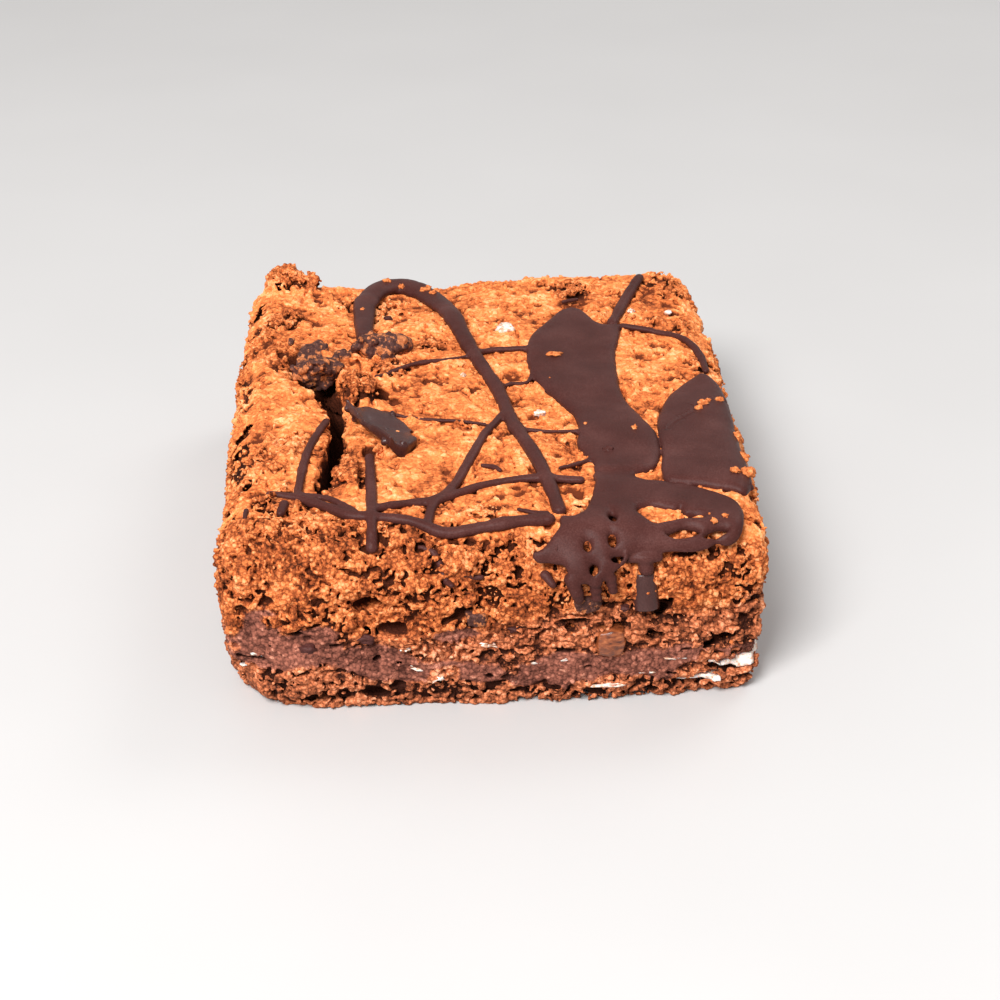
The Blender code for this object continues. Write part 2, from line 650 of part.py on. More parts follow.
def keep_largest_body(target):
    """Drop loose scraps and merge points that a cut has left almost on each other."""
    bm = bmesh.new()
    bm.from_mesh(target.data)
    bmesh.ops.remove_doubles(bm, verts=bm.verts[:], dist=WELD * METRE)
    bmesh.ops.dissolve_degenerate(bm, edges=bm.edges[:], dist=WELD * METRE)
    unseen = set(bm.faces)
    bodies = []
    while unseen:
        queue = [unseen.pop()]
        body = []
        while queue:
            face = queue.pop()
            body.append(face)
            for edge in face.edges:
                for neighbour in edge.link_faces:
                    if neighbour in unseen:
                        unseen.remove(neighbour)
                        queue.append(neighbour)
        bodies.append(body)
    bodies.sort(key=len)
    scraps = [face for body in bodies[:-1] for face in body]
    bmesh.ops.delete(bm, geom=scraps, context="FACES")
    bmesh.ops.dissolve_limit(bm, angle_limit=math.radians(FLAT_ANGLE), verts=bm.verts[:], edges=bm.edges[:])
    bmesh.ops.triangulate(bm, faces=bm.faces[:])
    bm.to_mesh(target.data)
    bm.free()


def set_finish(target, finish_material):
    target.data.materials.clear()
    target.data.materials.append(finish_material)
    for polygon in target.data.polygons:
        polygon.material_index = 0
        polygon.use_smooth = False


def main():
    clear_scene()
    parts = new_collection("smores_brownie")
    tools = new_collection("cutters")
    looks = {name: material(name, *look) for name, look in FINISHES.items()}

    # The whole square, with its lumps on and its hollows out
    square = whole_square(tools)
    lumps = [rock(name, *form, 0.0, LUMP_ROUGHNESS, tools) for name, form in LUMPS.items()]
    combine(square, "UNION", lumps + face_lumps(tools))
    hollows = [rock(name, *form, 0.0, HOLLOW_ROUGHNESS, tools) for name, form in HOLLOWS.items()]
    combine(square, "DIFFERENCE", hollows + [crack_blade(tools)])
    keep_largest_body(square)

    # What is set into the crumb
    chocolate = looks["dark chocolate"]
    pools = [pool(name, outline, parts, chocolate) for name, outline in POOLS.items()]
    front_pool = pools[-1]
    windows = [window_cutter(index, *window, tools) for index, window in enumerate(WINDOWS)]
    combine(front_pool, "DIFFERENCE", windows)
    inserts = [rock(name, *form, parts, chocolate) for name, form in CHUNKS.items()]
    inserts.append(shard(parts, chocolate))
    stub_piece = stub(parts, chocolate)
    inserts.append(stub_piece)
    for name, (centre, size) in CHIPS.items():
        inserts.append(chip(name, centre, size, parts, chocolate))
    ribbons = [ribbon(name, place, 0.0, parts) for name, place in RIBBONS.items()]
    for piece in ribbons:
        combine(piece, "INTERSECT", [square])
        keep_largest_body(piece)
    for index, piece in enumerate(pools):
        if index:
            combine(piece, "DIFFERENCE", [fattened(other, tools) for other in pools[:index]])
            keep_largest_body(piece)
    combine(stub_piece, "DIFFERENCE", [fattened(front_pool, tools)])
    keep_largest_body(stub_piece)

    # The layers
    half_gap = GAP / 2
    layers = {
        "base_crumb": (lambda x, y: FAR_BELOW, lambda x, y: fudge_foot(x, y) - half_gap, "brownie crumb"),
        "fudge_layer": (lambda x, y: fudge_foot(x, y) + half_gap, lambda x, y: fudge_top(x, y) - half_gap, "fudge"),
        "cake_top": (lambda x, y: fudge_top(x, y) + half_gap, lambda x, y: FAR_ABOVE, "baked crust"),
    }
    clearances = [fattened(piece, tools) for piece in pools + inserts]
    clearances += [ribbon(name + "_slot", place, GAP, tools) for name, place in RIBBONS.items()]
    for name, (low, high, look) in layers.items():
        layer = bpy.data.objects.new(name, square.data.copy())
        parts.objects.link(layer)
        combine(layer, "INTERSECT", [layer_block(name + "_block", low, high, tools)])
        if name == "cake_top":
            strands = [strand(title, route, tools) for title, route in STRANDS.items()]
            combine(layer, "UNION", strands)
        combine(layer, "DIFFERENCE", clearances)
        keep_largest_body(layer)
        set_finish(layer, looks[look])
    for piece in pools + inserts:
        set_finish(piece, looks["toffee"] if piece.name.startswith("toffee") else chocolate)
    for piece in ribbons:
        set_finish(piece, looks["marshmallow"])

    for tool in list(tools.objects):
        bpy.data.objects.remove(tool, do_unlink=True)
    for piece in parts.objects:
        places = [vertex.co / METRE for vertex in piece.data.vertices]
        low = [round(min(place[axis] for place in places), 1) for axis in range(3)]
        high = [round(max(place[axis] for place in places), 1) for axis in range(3)]
        print(piece.name, len(piece.data.polygons), "triangles, from", low, "to", high, "mm")
    print("triangles", sum(len(piece.data.polygons) for piece in parts.objects))


main()
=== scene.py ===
# %% [markdown]
# # A square of smores brownie
# The real thing is a cut square of baked crumb with a band of fudge through it, two seams of
# marshmallow, a thin cracked crust, and dark chocolate poured and drizzled over the top. The packed
# solids give its form to about a millimetre. Everything finer than that is made here, mostly as
# signed distance fields: blocks of numbers that say how far each point is from the surface. Crumbs,
# holes and melted joins are easy to add to such a field, and a clean closed mesh comes out at the end.

import math

import bmesh
import bpy
import numpy as np
import openvdb as vdb
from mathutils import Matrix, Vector, noise


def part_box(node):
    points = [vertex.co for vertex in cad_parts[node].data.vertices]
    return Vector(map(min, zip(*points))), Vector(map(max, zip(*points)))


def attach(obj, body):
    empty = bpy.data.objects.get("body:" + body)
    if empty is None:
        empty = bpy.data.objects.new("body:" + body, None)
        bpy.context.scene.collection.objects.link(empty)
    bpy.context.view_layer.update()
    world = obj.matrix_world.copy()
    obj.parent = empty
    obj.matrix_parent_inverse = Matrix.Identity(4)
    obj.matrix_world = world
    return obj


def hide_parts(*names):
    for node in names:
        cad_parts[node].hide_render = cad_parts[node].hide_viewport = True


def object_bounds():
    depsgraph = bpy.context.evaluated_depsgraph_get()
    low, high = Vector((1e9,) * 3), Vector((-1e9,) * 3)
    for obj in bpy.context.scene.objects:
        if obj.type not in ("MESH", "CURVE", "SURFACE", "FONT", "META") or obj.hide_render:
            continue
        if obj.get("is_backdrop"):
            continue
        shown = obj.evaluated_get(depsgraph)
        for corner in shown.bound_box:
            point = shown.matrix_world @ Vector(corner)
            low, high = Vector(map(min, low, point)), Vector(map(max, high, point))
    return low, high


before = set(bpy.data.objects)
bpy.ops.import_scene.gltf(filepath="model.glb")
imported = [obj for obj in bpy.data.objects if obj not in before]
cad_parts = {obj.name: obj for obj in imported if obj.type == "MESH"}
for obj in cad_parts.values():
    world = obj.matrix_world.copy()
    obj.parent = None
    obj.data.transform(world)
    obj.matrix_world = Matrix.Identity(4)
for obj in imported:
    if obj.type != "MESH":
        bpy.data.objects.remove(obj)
CAD_BOX = [[float(v) for v in corner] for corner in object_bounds()]
MM = 0.001
BOX_LOW, BOX_HIGH = [[v / MM for v in corner] for corner in CAD_BOX]
print("solids:", sorted(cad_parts))
print("box in mm:", [round(v, 1) for v in BOX_LOW], [round(v, 1) for v in BOX_HIGH])

# %% [markdown]
# ## Camera, floor and light
# The photo was taken from above the front edge, a little to the left, with a long lens. The camera
# stands at that place. The light is a pale sky all round with one large soft lamp from the upper
# left, which gives the chocolate its long dull highlights and leaves a faint shadow on the right.

# %% Camera
def place_object(name, data):
    """A new object in the scene."""
    made = bpy.data.objects.new(name, data)
    bpy.context.scene.collection.objects.link(made)
    return made


CAMERA_PLACE = (-18.8, -294.7, 170.1)
CAMERA_DOWN = 28.9
CAMERA_TURN = -4.21
camera_data = bpy.data.cameras.new("camera")
camera_data.lens = 75.0
camera_data.sensor_width = 36.0
camera_data.clip_start = 0.01
camera_data.clip_end = 20.0
camera = place_object("camera", camera_data)
camera.location = [v * MM for v in CAMERA_PLACE]
camera.rotation_euler = (math.radians(90.0 - CAMERA_DOWN), 0.0, math.radians(CAMERA_TURN))
bpy.context.scene.camera = camera
bpy.context.scene.view_settings.view_transform = "Standard"

# %% Sky and lamps
SKY_COLOUR = (1.0, 0.985, 0.97)
SKY_STRENGTH = 0.5
FOOD_MIDDLE = Vector((0.0, 0.0, 0.015))
world = bpy.data.worlds.new("pale sky")
world.use_nodes = True
world.node_tree.nodes["Background"].inputs["Color"].default_value = (*SKY_COLOUR, 1.0)
world.node_tree.nodes["Background"].inputs["Strength"].default_value = SKY_STRENGTH
bpy.context.scene.world = world


def add_lamp(name, place, size, power):
    """A square soft lamp at a place in metres, aimed at the middle of the food."""
    data = bpy.data.lights.new(name, "AREA")
    data.size = size
    data.energy = power
    lamp = place_object(name, data)
    lamp.location = place
    lamp.rotation_euler = (FOOD_MIDDLE - Vector(place)).to_track_quat("-Z", "Y").to_euler()


add_lamp("key lamp", (-0.30, -0.52, 0.66), 0.36, 12.5)
add_lamp("back lamp", (0.5, 0.45, 0.7), 0.4, 2.2)

# %% [markdown]
# ## Materials as short sums
# A finish is built from a few noises that are added and multiplied. Writing that with node calls is
# long, so one small class wraps a socket, and Python's own operators on it add the Math nodes.

# %% Sockets as numbers
class Wire:
    """An output socket on which +, - and * add Math nodes."""

    def __init__(self, finish, socket):
        self.finish = finish
        self.socket = socket

    def maths(self, operation, first, second):
        return self.finish.node("ShaderNodeMath", {"operation": operation}, {0: first, 1: second})

    def __add__(self, other):
        return self.maths("ADD", self, other)

    __radd__ = __add__

    def __sub__(self, other):
        return self.maths("SUBTRACT", self, other)

    def __rsub__(self, other):
        return self.maths("SUBTRACT", other, self)

    def __mul__(self, other):
        return self.maths("MULTIPLY", self, other)

    __rmul__ = __mul__


# %% A finish
class Finish:
    """One material, with calls that add its nodes."""

    def __init__(self, name):
        self.material = bpy.data.materials.new(name)
        self.material.use_nodes = True
        self.tree = self.material.node_tree
        self.tree.nodes.clear()
        self.place = self.node("ShaderNodeTexCoord", output="Object")

    def node(self, kind, settings=None, sockets=None, output=0):
        """Add a node: its type, its settings, and values or wires for its sockets."""
        made = self.tree.nodes.new(kind)
        for key, value in (settings or {}).items():
            if key == "stops":
                self.set_stops(made.color_ramp, value)
            else:
                setattr(made, key, value)
        for key, value in (sockets or {}).items():
            if isinstance(value, Wire):
                self.tree.links.new(value.socket, made.inputs[key])
            else:
                made.inputs[key].default_value = value
        return Wire(self, made.outputs[output])

    def set_stops(self, ramp, stops):
        while len(ramp.elements) > 1:
            ramp.elements.remove(ramp.elements[-1])
        for index, (position, colour) in enumerate(stops):
            stop = ramp.elements[0] if index == 0 else ramp.elements.new(position)
            stop.position = position
            stop.color = (*colour, 1.0)

    def attribute(self, name):
        """A value that was written at each point of the mesh."""
        return self.node("ShaderNodeAttribute", {"attribute_name": name}, output="Fac")

    def noise(self, size, detail=2.0, roughness=0.5, stretch=None):
        """Noise between 0 and 1 with features of a size in millimetres."""
        place = self.place
        if stretch:
            place = self.node("ShaderNodeVectorMath", {"operation": "MULTIPLY"}, {0: place, 1: stretch})
        sockets = {"Vector": place, "Scale": 1.0 / (size * MM), "Detail": detail, "Roughness": roughness}
        return self.node("ShaderNodeTexNoise", None, sockets)

    def noise_colour(self, size):
        """Three noises at once, for bending a place."""
        return self.node("ShaderNodeTexNoise", None, {"Vector": self.place, "Scale": 1.0 / (size * MM)},
                         output=1)

    def step(self, value, low, high):
        """0 below low, 1 above high, smooth between."""
        settings = {"interpolation_type": "SMOOTHSTEP"}
        return self.node("ShaderNodeMapRange", settings, {"Value": value, "From Min": low, "From Max": high})

    def mix(self, factor, first, second):
        """A mix of two colours."""
        settings = {"data_type": "RGBA"}
        first = (*first, 1.0) if isinstance(first, tuple) else first
        second = (*second, 1.0) if isinstance(second, tuple) else second
        return self.node("ShaderNodeMix", settings, {0: factor, 6: first, 7: second}, output=2)

    def ramp(self, value, stops):
        return self.node("ShaderNodeValToRGB", {"stops": stops}, {"Fac": value})

    def bump(self, height, depth):
        """A normal from a height between 0 and 1 that stands for a depth in millimetres."""
        return self.node("ShaderNodeBump", None, {"Height": height, "Strength": 1.0, "Distance": depth * MM})

    def surface(self, colour, roughness, normal, constants=None):
        sockets = {"Base Color": colour, "Roughness": roughness, "Normal": normal, **(constants or {})}
        shader = self.node("ShaderNodeBsdfPrincipled", None, sockets)
        end = self.tree.nodes.new("ShaderNodeOutputMaterial")
        self.tree.links.new(shader.socket, end.inputs["Surface"])
        return self.material


# %% Floor
FLOOR_HALF = 3.0
floor_mesh = bpy.data.meshes.new("floor")
corners = [(x * FLOOR_HALF, y * FLOOR_HALF, 0.0) for x, y in ((-1, -1), (1, -1), (1, 1), (-1, 1))]
floor_mesh.from_pydata(corners, [], [(0, 1, 2, 3)])
floor = place_object("floor", floor_mesh)
paint = Finish("pale floor")
floor_colour = paint.mix(paint.noise(60.0), (0.50, 0.49, 0.485), (0.54, 0.53, 0.525))
floor_mesh.materials.append(paint.surface(floor_colour, 0.45, paint.bump(paint.noise(3.0), 0.01)))
floor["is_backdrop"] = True

# %% [markdown]
# ## Fields of numbers
# A grid holds the places of its voxels in millimetres. Noise on it is a coarse block of random
# numbers that is blown up with smooth weights, one axis at a time, which is fast however fine the
# grid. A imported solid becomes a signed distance, negative inside.

# %% Grids and noise
class Grid:
    """A block of voxels, in millimetres."""

    def __init__(self, low, high, voxel):
        self.low = np.array(low, np.float64)
        self.voxel = voxel
        self.shape = tuple(int(math.ceil((b - a) / voxel)) + 1 for a, b in zip(low, high))
        x, y, z = [(low[axis] + voxel * np.arange(self.shape[axis])).astype(np.float32) for axis in range(3)]
        self.x, self.y, self.z = x[:, None, None], y[None, :, None], z[None, None, :]


def spread(values, count, step, offset, axis):
    """Blow one axis of an array up to count places, step cells apart, with cubic weights."""
    place = np.arange(count) * step + offset + 1.0
    cell = place.astype(int)
    part = (place - cell).astype(np.float32)
    weights = [(1 - part) ** 3, 3 * part**3 - 6 * part**2 + 4, -3 * part**3 + 3 * part**2 + 3 * part + 1,
               part**3]
    shape = [count if a == axis else 1 for a in range(3)]
    total = 0.0
    for tap, weight in enumerate(weights):
        total = total + np.take(values, cell - 1 + tap, axis=axis) * (weight / 6.0).reshape(shape)
    return total


NOISE_GAIN = 2.3  # the smooth weights shrink the random values, so they are raised again


def grid_noise(grid, sizes, seed):
    """Smooth noise of about -1 to 1 over a whole grid, with a feature size for each axis."""
    draw = np.random.default_rng(seed)
    sizes = np.broadcast_to(sizes, 3)
    counts = [int(n * grid.voxel / size) + 6 for n, size in zip(grid.shape, sizes)]
    values = (NOISE_GAIN * draw.uniform(-1.0, 1.0, counts)).astype(np.float32)
    for axis in range(3):
        values = spread(values, grid.shape[axis], grid.voxel / sizes[axis], draw.uniform(), axis)
    return values


def smooth_step(value, low, high):
    part = np.clip((value - low) / (high - low), 0.0, 1.0)
    return part * part * (3.0 - 2.0 * part)


def melt(first, second, width):
    """The union of two fields, with the crease between them filled over a width."""
    part = np.clip(0.5 + 0.5 * (second - first) / width, 0.0, 1.0)
    return second * (1.0 - part) + first * part - width * part * (1.0 - part)


# %% Solids to fields and back
BAND = 8.0  # how many voxels out from the surface a distance is kept


def merged_copy(name):
    """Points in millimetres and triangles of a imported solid, with its doubles merged."""
    bm = bmesh.new()
    bm.from_mesh(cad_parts[name].data)
    bmesh.ops.remove_doubles(bm, verts=bm.verts[:], dist=1e-7)
    points = np.array([vertex.co for vertex in bm.verts]) / MM
    triangles = np.array([[vertex.index for vertex in face.verts] for face in bm.faces], np.uint32)
    bm.free()
    return points, triangles


def mesh_field(points, triangles, grid):
    """Signed distance to a closed mesh, in millimetres."""
    level = vdb.FloatGrid.createLevelSetFromPolygons(
        (points - grid.low).astype(np.float32),
        triangles=np.ascontiguousarray(triangles, np.uint32),
        transform=vdb.createLinearTransform(voxelSize=grid.voxel),
        halfWidth=BAND,
    )
    field = np.empty(grid.shape, np.float32)
    level.copyToArray(field)
    return field


def solid_field(name, grid):
    """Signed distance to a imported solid, in millimetres."""
    return mesh_field(*merged_copy(name), grid)


def skin(field, grid, thrift=0.0):
    """The closed surface where a field is zero: points in millimetres and triangles, facing out.
    Thrift from 0 to 1 merges cells where the surface is flat."""
    limit = BAND * grid.voxel
    level = vdb.FloatGrid(limit)
    level.copyFromArray(np.ascontiguousarray(np.clip(field, -limit, limit), np.float32))
    level.transform = vdb.createLinearTransform(voxelSize=grid.voxel)
    points, triangles, quads = level.convertToPolygons(0.0, thrift)
    triangles = np.vstack([triangles, quads[:, [0, 1, 2]], quads[:, [0, 2, 3]]])
    corners = points[triangles]
    volume = np.einsum("ij,ij->", corners[:, 0], np.cross(corners[:, 1], corners[:, 2]))
    if volume < 0.0:
        triangles = triangles[:, ::-1]
    return points + grid.low, triangles


def sample(field, grid, points):
    """Values of a field at points, by linear blending between voxels."""
    place = (points - grid.low) / grid.voxel
    cell = np.clip(place.astype(int), 0, np.array(grid.shape) - 2)
    part = np.clip(place - cell, 0.0, 1.0)
    total = 0.0
    for corner in range(8):
        step = np.array([corner & 1, corner >> 1 & 1, corner >> 2 & 1])
        weight = np.prod(np.where(step, part, 1.0 - part), axis=1)
        total = total + weight * field[tuple((cell + step).T)]
    return total


def mesh_object(name, points, faces, attributes=None):
    """A mesh piece from points in millimetres, with one value of each attribute at each point."""
    data = bpy.data.meshes.new(name)
    count, size = faces.shape
    data.vertices.add(len(points))
    data.vertices.foreach_set("co", (points * MM).astype(np.float32).ravel())
    data.loops.add(count * size)
    data.loops.foreach_set("vertex_index", faces.astype(np.int32).ravel())
    data.polygons.add(count)
    data.polygons.foreach_set("loop_start", np.arange(0, count * size, size, dtype=np.int32))
    data.update(calc_edges=True)
    for title, values in (attributes or {}).items():
        layer = data.attributes.new(title, "FLOAT", "POINT")
        layer.data.foreach_set("value", values.astype(np.float32))
    data.shade_smooth()
    return place_object(name, data)


# %% [markdown]
# ## Heights that the layers follow
# The crust, the pools and the fudge follow gentle waves. The same few formulas that shaped the
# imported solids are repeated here, so that every crumb and every puddle lies where the solids say.

# %% Height maps
WIDTH, DEPTH, CRUST_TOP = 77.6, 96.4, 26.7
SKEW = 0.026


def wave(x, y, size, seed):
    return noise.noise(Vector((x / size + seed, y / size - seed, 0.37 * seed)))


def rounded(distance, width, drop):
    return drop * np.clip(1.0 - distance / width, 0.0, 1.0) ** 2


def wave_map(x, y, size, seed):
    """The wave on a map, worked out every millimetre and filled in between."""
    coarse_x = np.arange(x.min() - 1.0, x.max() + 2.0, 1.0)
    coarse_y = np.arange(y.min() - 1.0, y.max() + 2.0, 1.0)
    coarse = np.array([[wave(a, b, size, seed) for b in coarse_y] for a in coarse_x])
    rows = np.array([np.interp(y, coarse_y, row) for row in coarse])
    return np.array([np.interp(x, coarse_x, column) for column in rows.T]).T


def height_maps(grid):
    """Heights of the crust, of the pools' middle and of the fudge, over a grid's columns."""
    x, y = grid.x[:, 0, 0].astype(float), grid.y[0, :, 0].astype(float)
    swell = wave_map(x, y, 13.0, 3.1)
    top_wave, foot_wave = wave_map(x, y, 17.0, 2.2), wave_map(x, y, 14.0, 6.1)
    x, y = x[:, None], y[None, :]
    across = x - SKEW * y
    crust = CRUST_TOP + 0.75 * swell
    dip = np.exp(-(((x + 8.0) / 15.0) ** 2)) * np.clip((y - 26.0) / 18.0, 0.0, 1.0)
    crust = crust - 1.5 * dip - rounded(y + DEPTH / 2, 7.5, 6.0) - rounded(DEPTH / 2 - y, 4.0, 1.8)
    crust = crust - rounded(across + WIDTH / 2, 4.0, 3.2) - rounded(WIDTH / 2 - across, 4.0, 2.4)
    fall = 0.75 * rounded(y + DEPTH / 2 + 2.6, 7.5, 7.5) + 0.6 * rounded(WIDTH / 2 - across, 4.0, 2.4)
    pools = CRUST_TOP + 0.75 * swell - fall + 0.05
    front = np.exp(-(((y + DEPTH / 2) / 16.0) ** 2))
    climb = 6.5 * np.exp(-(((x + 35.0) / 4.5) ** 2)) + 5.0 * np.exp(-(((x + 27.0) / 4.0) ** 2))
    climb = climb + 2.0 * np.exp(-(((x + 17.0) / 6.0) ** 2))
    fudge_top = 8.8 + climb * front + 1.1 * top_wave
    lift = 3.8 * np.clip((-14.0 - x) / 10.0, 0.0, 1.0) * front + 1.0 * np.clip((x - 22.0) / 8.0, 0.0, 1.0)
    fudge_foot = 3.7 + lift + 0.5 * foot_wave
    return [map_.astype(np.float32)[:, :, None] for map_ in (crust, pools, fudge_top, fudge_foot)]


# %% [markdown]
# ## The smooth body
# The three layers are joined into one field, a little fattened so that the hairline gaps between
# them close, and the sunk pieces are added slightly small, so that the crumb has no empty pockets.
# The distance is then measured afresh, or the field would still dip towards zero along the gaps.

# %% Join the layers
VOXEL = 0.25
body_grid = Grid([v - 1.5 for v in BOX_LOW], [v + 1.5 for v in BOX_HIGH], VOXEL)
CRUMB_NODES = ["cake_top", "fudge_layer", "base_crumb"]
SUNK_NODES = [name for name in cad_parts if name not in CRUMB_NODES]
SUNK_BY = 0.55
body = None
for name in CRUMB_NODES + SUNK_NODES:
    distance = solid_field(name, body_grid) + (0.0 if name in CRUMB_NODES else SUNK_BY)
    body = distance if body is None else np.minimum(body, distance)
CLOSE, OPEN = 0.32, 0.14  # in mm, the joined solids are fattened by the first and worn by the second
body = mesh_field(*skin(body - CLOSE, body_grid), body_grid) + OPEN


def softened(field, reach):
    """A field averaged over a few voxels each way, twice, which melts away facets."""
    for _ in range(2):
        for axis in range(3):
            margins = [(reach + 1, reach) if a == axis else (0, 0) for a in range(3)]
            total = np.cumsum(np.pad(field, margins, mode="edge"), axis=axis, dtype=np.float64)
            count = field.shape[axis]
            ahead = np.take(total, np.arange(2 * reach + 1, count + 2 * reach + 1), axis=axis)
            behind = np.take(total, np.arange(count), axis=axis)
            field = ((ahead - behind) / (2 * reach + 1)).astype(np.float32)
    return field


body = 0.4 * body + 0.6 * softened(body, int(round(1.0 / VOXEL)))
BOULDER = [
    (-20.7, 3.4, 27.2, 2.2), (-19.4, 1.0, 28.0, 2.2), (-20.6, -2.0, 27.6, 2.0), (-18.6, -3.4, 26.8, 1.9),
    (-21.0, -25.6, 26.6, 1.6), (-20.2, -28.6, 26.4, 1.5), (-30.9, 45.6, 28.0, 2.0), (-33.0, 44.2, 27.2, 2.1),
    (-26.8, 45.4, 26.6, 1.7),
]
for x, y, z, radius in BOULDER:
    ball = np.sqrt((body_grid.x - x) ** 2 + (body_grid.y - y) ** 2 + (body_grid.z - z) ** 2) - radius
    body = melt(body, ball, 0.5)
crust_map, pool_map, fudge_top_map, fudge_foot_map = height_maps(body_grid)
print("body grid", body_grid.shape)

# %% [markdown]
# ## Where the drizzle runs
# Each string of chocolate is a route over the crust with a half width at each point. The fused
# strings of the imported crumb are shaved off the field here, because real chocolate takes their place.

# %% Routes of the drizzle
STRANDS = {
    "arch": [
        (-18.0, 20.0, 1.4), (-18.0, 28.0, 1.7), (-17.5, 36.5, 2.1), (-14.8, 43.4, 2.2), (-11.0, 45.2, 2.2),
        (-7.4, 41.5, 2.1), (-4.0, 32.0, 1.8), (-1.6, 19.0, 1.4), (0.6, 9.0, 1.2), (2.6, 0.0, 1.15),
        (4.0, -12.0, 1.1), (6.5, -25.0, 1.1), (8.0, -35.0, 1.05), (8.4, -39.5, 1.0),
    ],
    "branch": [
        (2.6, -9.0, 0.7), (-0.5, -15.5, 0.7), (-3.0, -22.5, 0.75), (-6.0, -30.5, 0.75), (-9.0, -35.5, 0.75),
        (-10.2, -41.0, 0.7),
    ],
    "middle": [
        (12.2, -31.3, 0.65), (5.5, -30.3, 0.7), (-1.0, -30.8, 0.7), (-5.0, -32.5, 0.75), (-9.5, -35.2, 0.8),
        (-13.5, -36.2, 0.7), (-17.5, -37.6, 0.7),
    ],
    "left": [
        (-24.4, -9.0, 0.6), (-25.6, -13.0, 0.65), (-27.0, -19.0, 0.7), (-28.0, -26.0, 0.7),
        (-28.6, -31.8, 0.65),
    ],
    "upright": [(-18.0, -22.0, 0.75), (-18.0, -30.0, 0.8), (-18.0, -38.0, 0.85), (-18.2, -45.0, 0.8)],
    "lower": [
        (-32.5, -31.3, 0.6), (-28.5, -32.6, 0.8), (-25.0, -35.4, 0.85), (-21.2, -39.2, 0.8),
        (-18.0, -40.0, 0.8), (-12.5, -41.2, 0.85), (-8.0, -43.4, 0.95), (-2.0, -43.0, 1.0),
        (3.0, -42.2, 1.0), (6.6, -41.9, 0.95),
    ],
    "lower_twin": [(-28.0, -31.8, 0.5), (-24.4, -33.4, 0.55), (-22.0, -36.2, 0.55), (-20.4, -38.6, 0.5)],
    "hook_left": [(-30.4, -34.6, 0.7), (-30.8, -37.6, 0.75)],
    "back_spur": [(23.6, 24.0, 0.95), (26.5, 32.0, 0.95), (30.5, 42.0, 0.9)],
    "back_loop": [
        (25.0, 22.6, 0.6), (30.0, 20.6, 0.6), (34.2, 17.2, 0.65), (36.2, 11.5, 0.65), (36.4, 5.0, 0.65),
    ],
}


def smooth_route(points, spacing):
    """Points about one spacing apart on a smooth curve through the given ones."""
    given = [np.array(point, float) for point in points]
    route = []
    for index in range(len(given) - 1):
        p0, p1 = given[max(index - 1, 0)], given[index]
        p2, p3 = given[index + 1], given[min(index + 2, len(given) - 1)]
        count = max(2, int(np.linalg.norm(p2[:2] - p1[:2]) / spacing))
        for step in range(count):
            t = step / count
            square, cube = 2 * p0 - 5 * p1 + 4 * p2 - p3, 3 * p1 - p0 - 3 * p2 + p3
            route.append(0.5 * (2 * p1 + (p2 - p0) * t + square * t**2 + cube * t**3))
    route.append(given[-1])
    return np.array(route)


def map_at(map_, grid, x, y):
    """The height of a map at places."""
    i = np.clip(np.round((x - grid.low[0]) / grid.voxel).astype(int), 0, grid.shape[0] - 1)
    j = np.clip(np.round((y - grid.low[1]) / grid.voxel).astype(int), 0, grid.shape[1] - 1)
    return map_[i, j, 0]


# %% [markdown]
# ## Outlines of the pools
# Each pool is a smooth closed curve seen from above. The front one has windows and small punctures
# through which the crumb shows. The distance to such a curve gives the pool's round rim, and tells
# where the crumb has to stay low.

# %% Outlines of the pools
POOLS = {
    "back": [
        (14.5, 28.0), (12.0, 23.5), (9.3, 18.5), (8.2, 13.0), (8.2, 7.0), (9.4, 1.0), (11.6, -5.0),
        (13.6, -10.5), (13.6, -15.5), (13.0, -20.5), (14.6, -26.0), (15.0, -29.4), (21.0, -29.6),
        (23.8, -27.6), (25.1, -23.0), (25.2, -18.0), (23.6, -11.0), (22.0, -4.0), (22.0, 4.0), (22.6, 11.5),
        (24.2, 19.0), (24.6, 22.6), (22.0, 22.8), (20.4, 24.6), (18.9, 28.4), (16.8, 29.6),
    ],
    "right": [
        (33.0, 1.0), (29.4, -3.7), (26.9, -9.8), (25.7, -14.8), (25.4, -19.5), (25.1, -24.5), (24.3, -30.0),
        (24.9, -33.0), (29.0, -34.4), (33.0, -35.8), (35.6, -36.6), (37.2, -32.0), (37.4, -24.0),
        (37.8, -14.0), (38.2, -6.0), (37.6, 0.0), (35.4, 2.8),
    ],
    "front": [
        (14.7, -28.6), (14.3, -32.2), (13.5, -35.6), (12.0, -40.0), (10.2, -41.9), (8.3, -41.8),
        (8.0, -44.2), (6.8, -45.9), (5.4, -47.3), (3.7, -47.9), (4.6, -48.7), (6.3, -48.7), (8.0, -49.0),
        (8.8, -50.0), (10.2, -50.6), (12.4, -50.6), (14.1, -50.2), (15.4, -49.8), (16.8, -49.1),
        (17.4, -48.5), (19.2, -48.1), (20.7, -48.2), (22.5, -48.0), (25.6, -48.1), (28.2, -47.8),
        (29.6, -47.3), (31.1, -47.6), (32.5, -47.0), (33.3, -46.0), (33.9, -44.0), (34.2, -40.6),
        (32.4, -37.0), (29.0, -34.6), (25.7, -33.2), (22.4, -32.6), (20.6, -31.0), (20.2, -28.6),
    ],
}
WINDOWS = [
    [
        (19.3, -40.8), (19.8, -42.9), (21.1, -44.7), (23.0, -44.1), (25.7, -43.5), (28.3, -43.4),
        (27.7, -42.5), (25.9, -42.0), (25.5, -40.5), (24.4, -40.9), (22.6, -40.0), (21.0, -39.8),
    ],
    [(22.6, -46.3), (23.9, -45.6), (25.5, -45.1), (27.0, -45.6), (27.3, -46.1), (25.8, -46.6), (23.9, -46.8)],
    [(27.9, -46.8), (28.6, -46.0), (29.8, -45.6), (31.3, -45.8), (30.9, -46.4), (29.3, -47.0)],
    [(14.6, -49.0), (15.0, -48.6), (16.4, -48.6), (16.2, -49.1), (15.2, -49.3)],
]
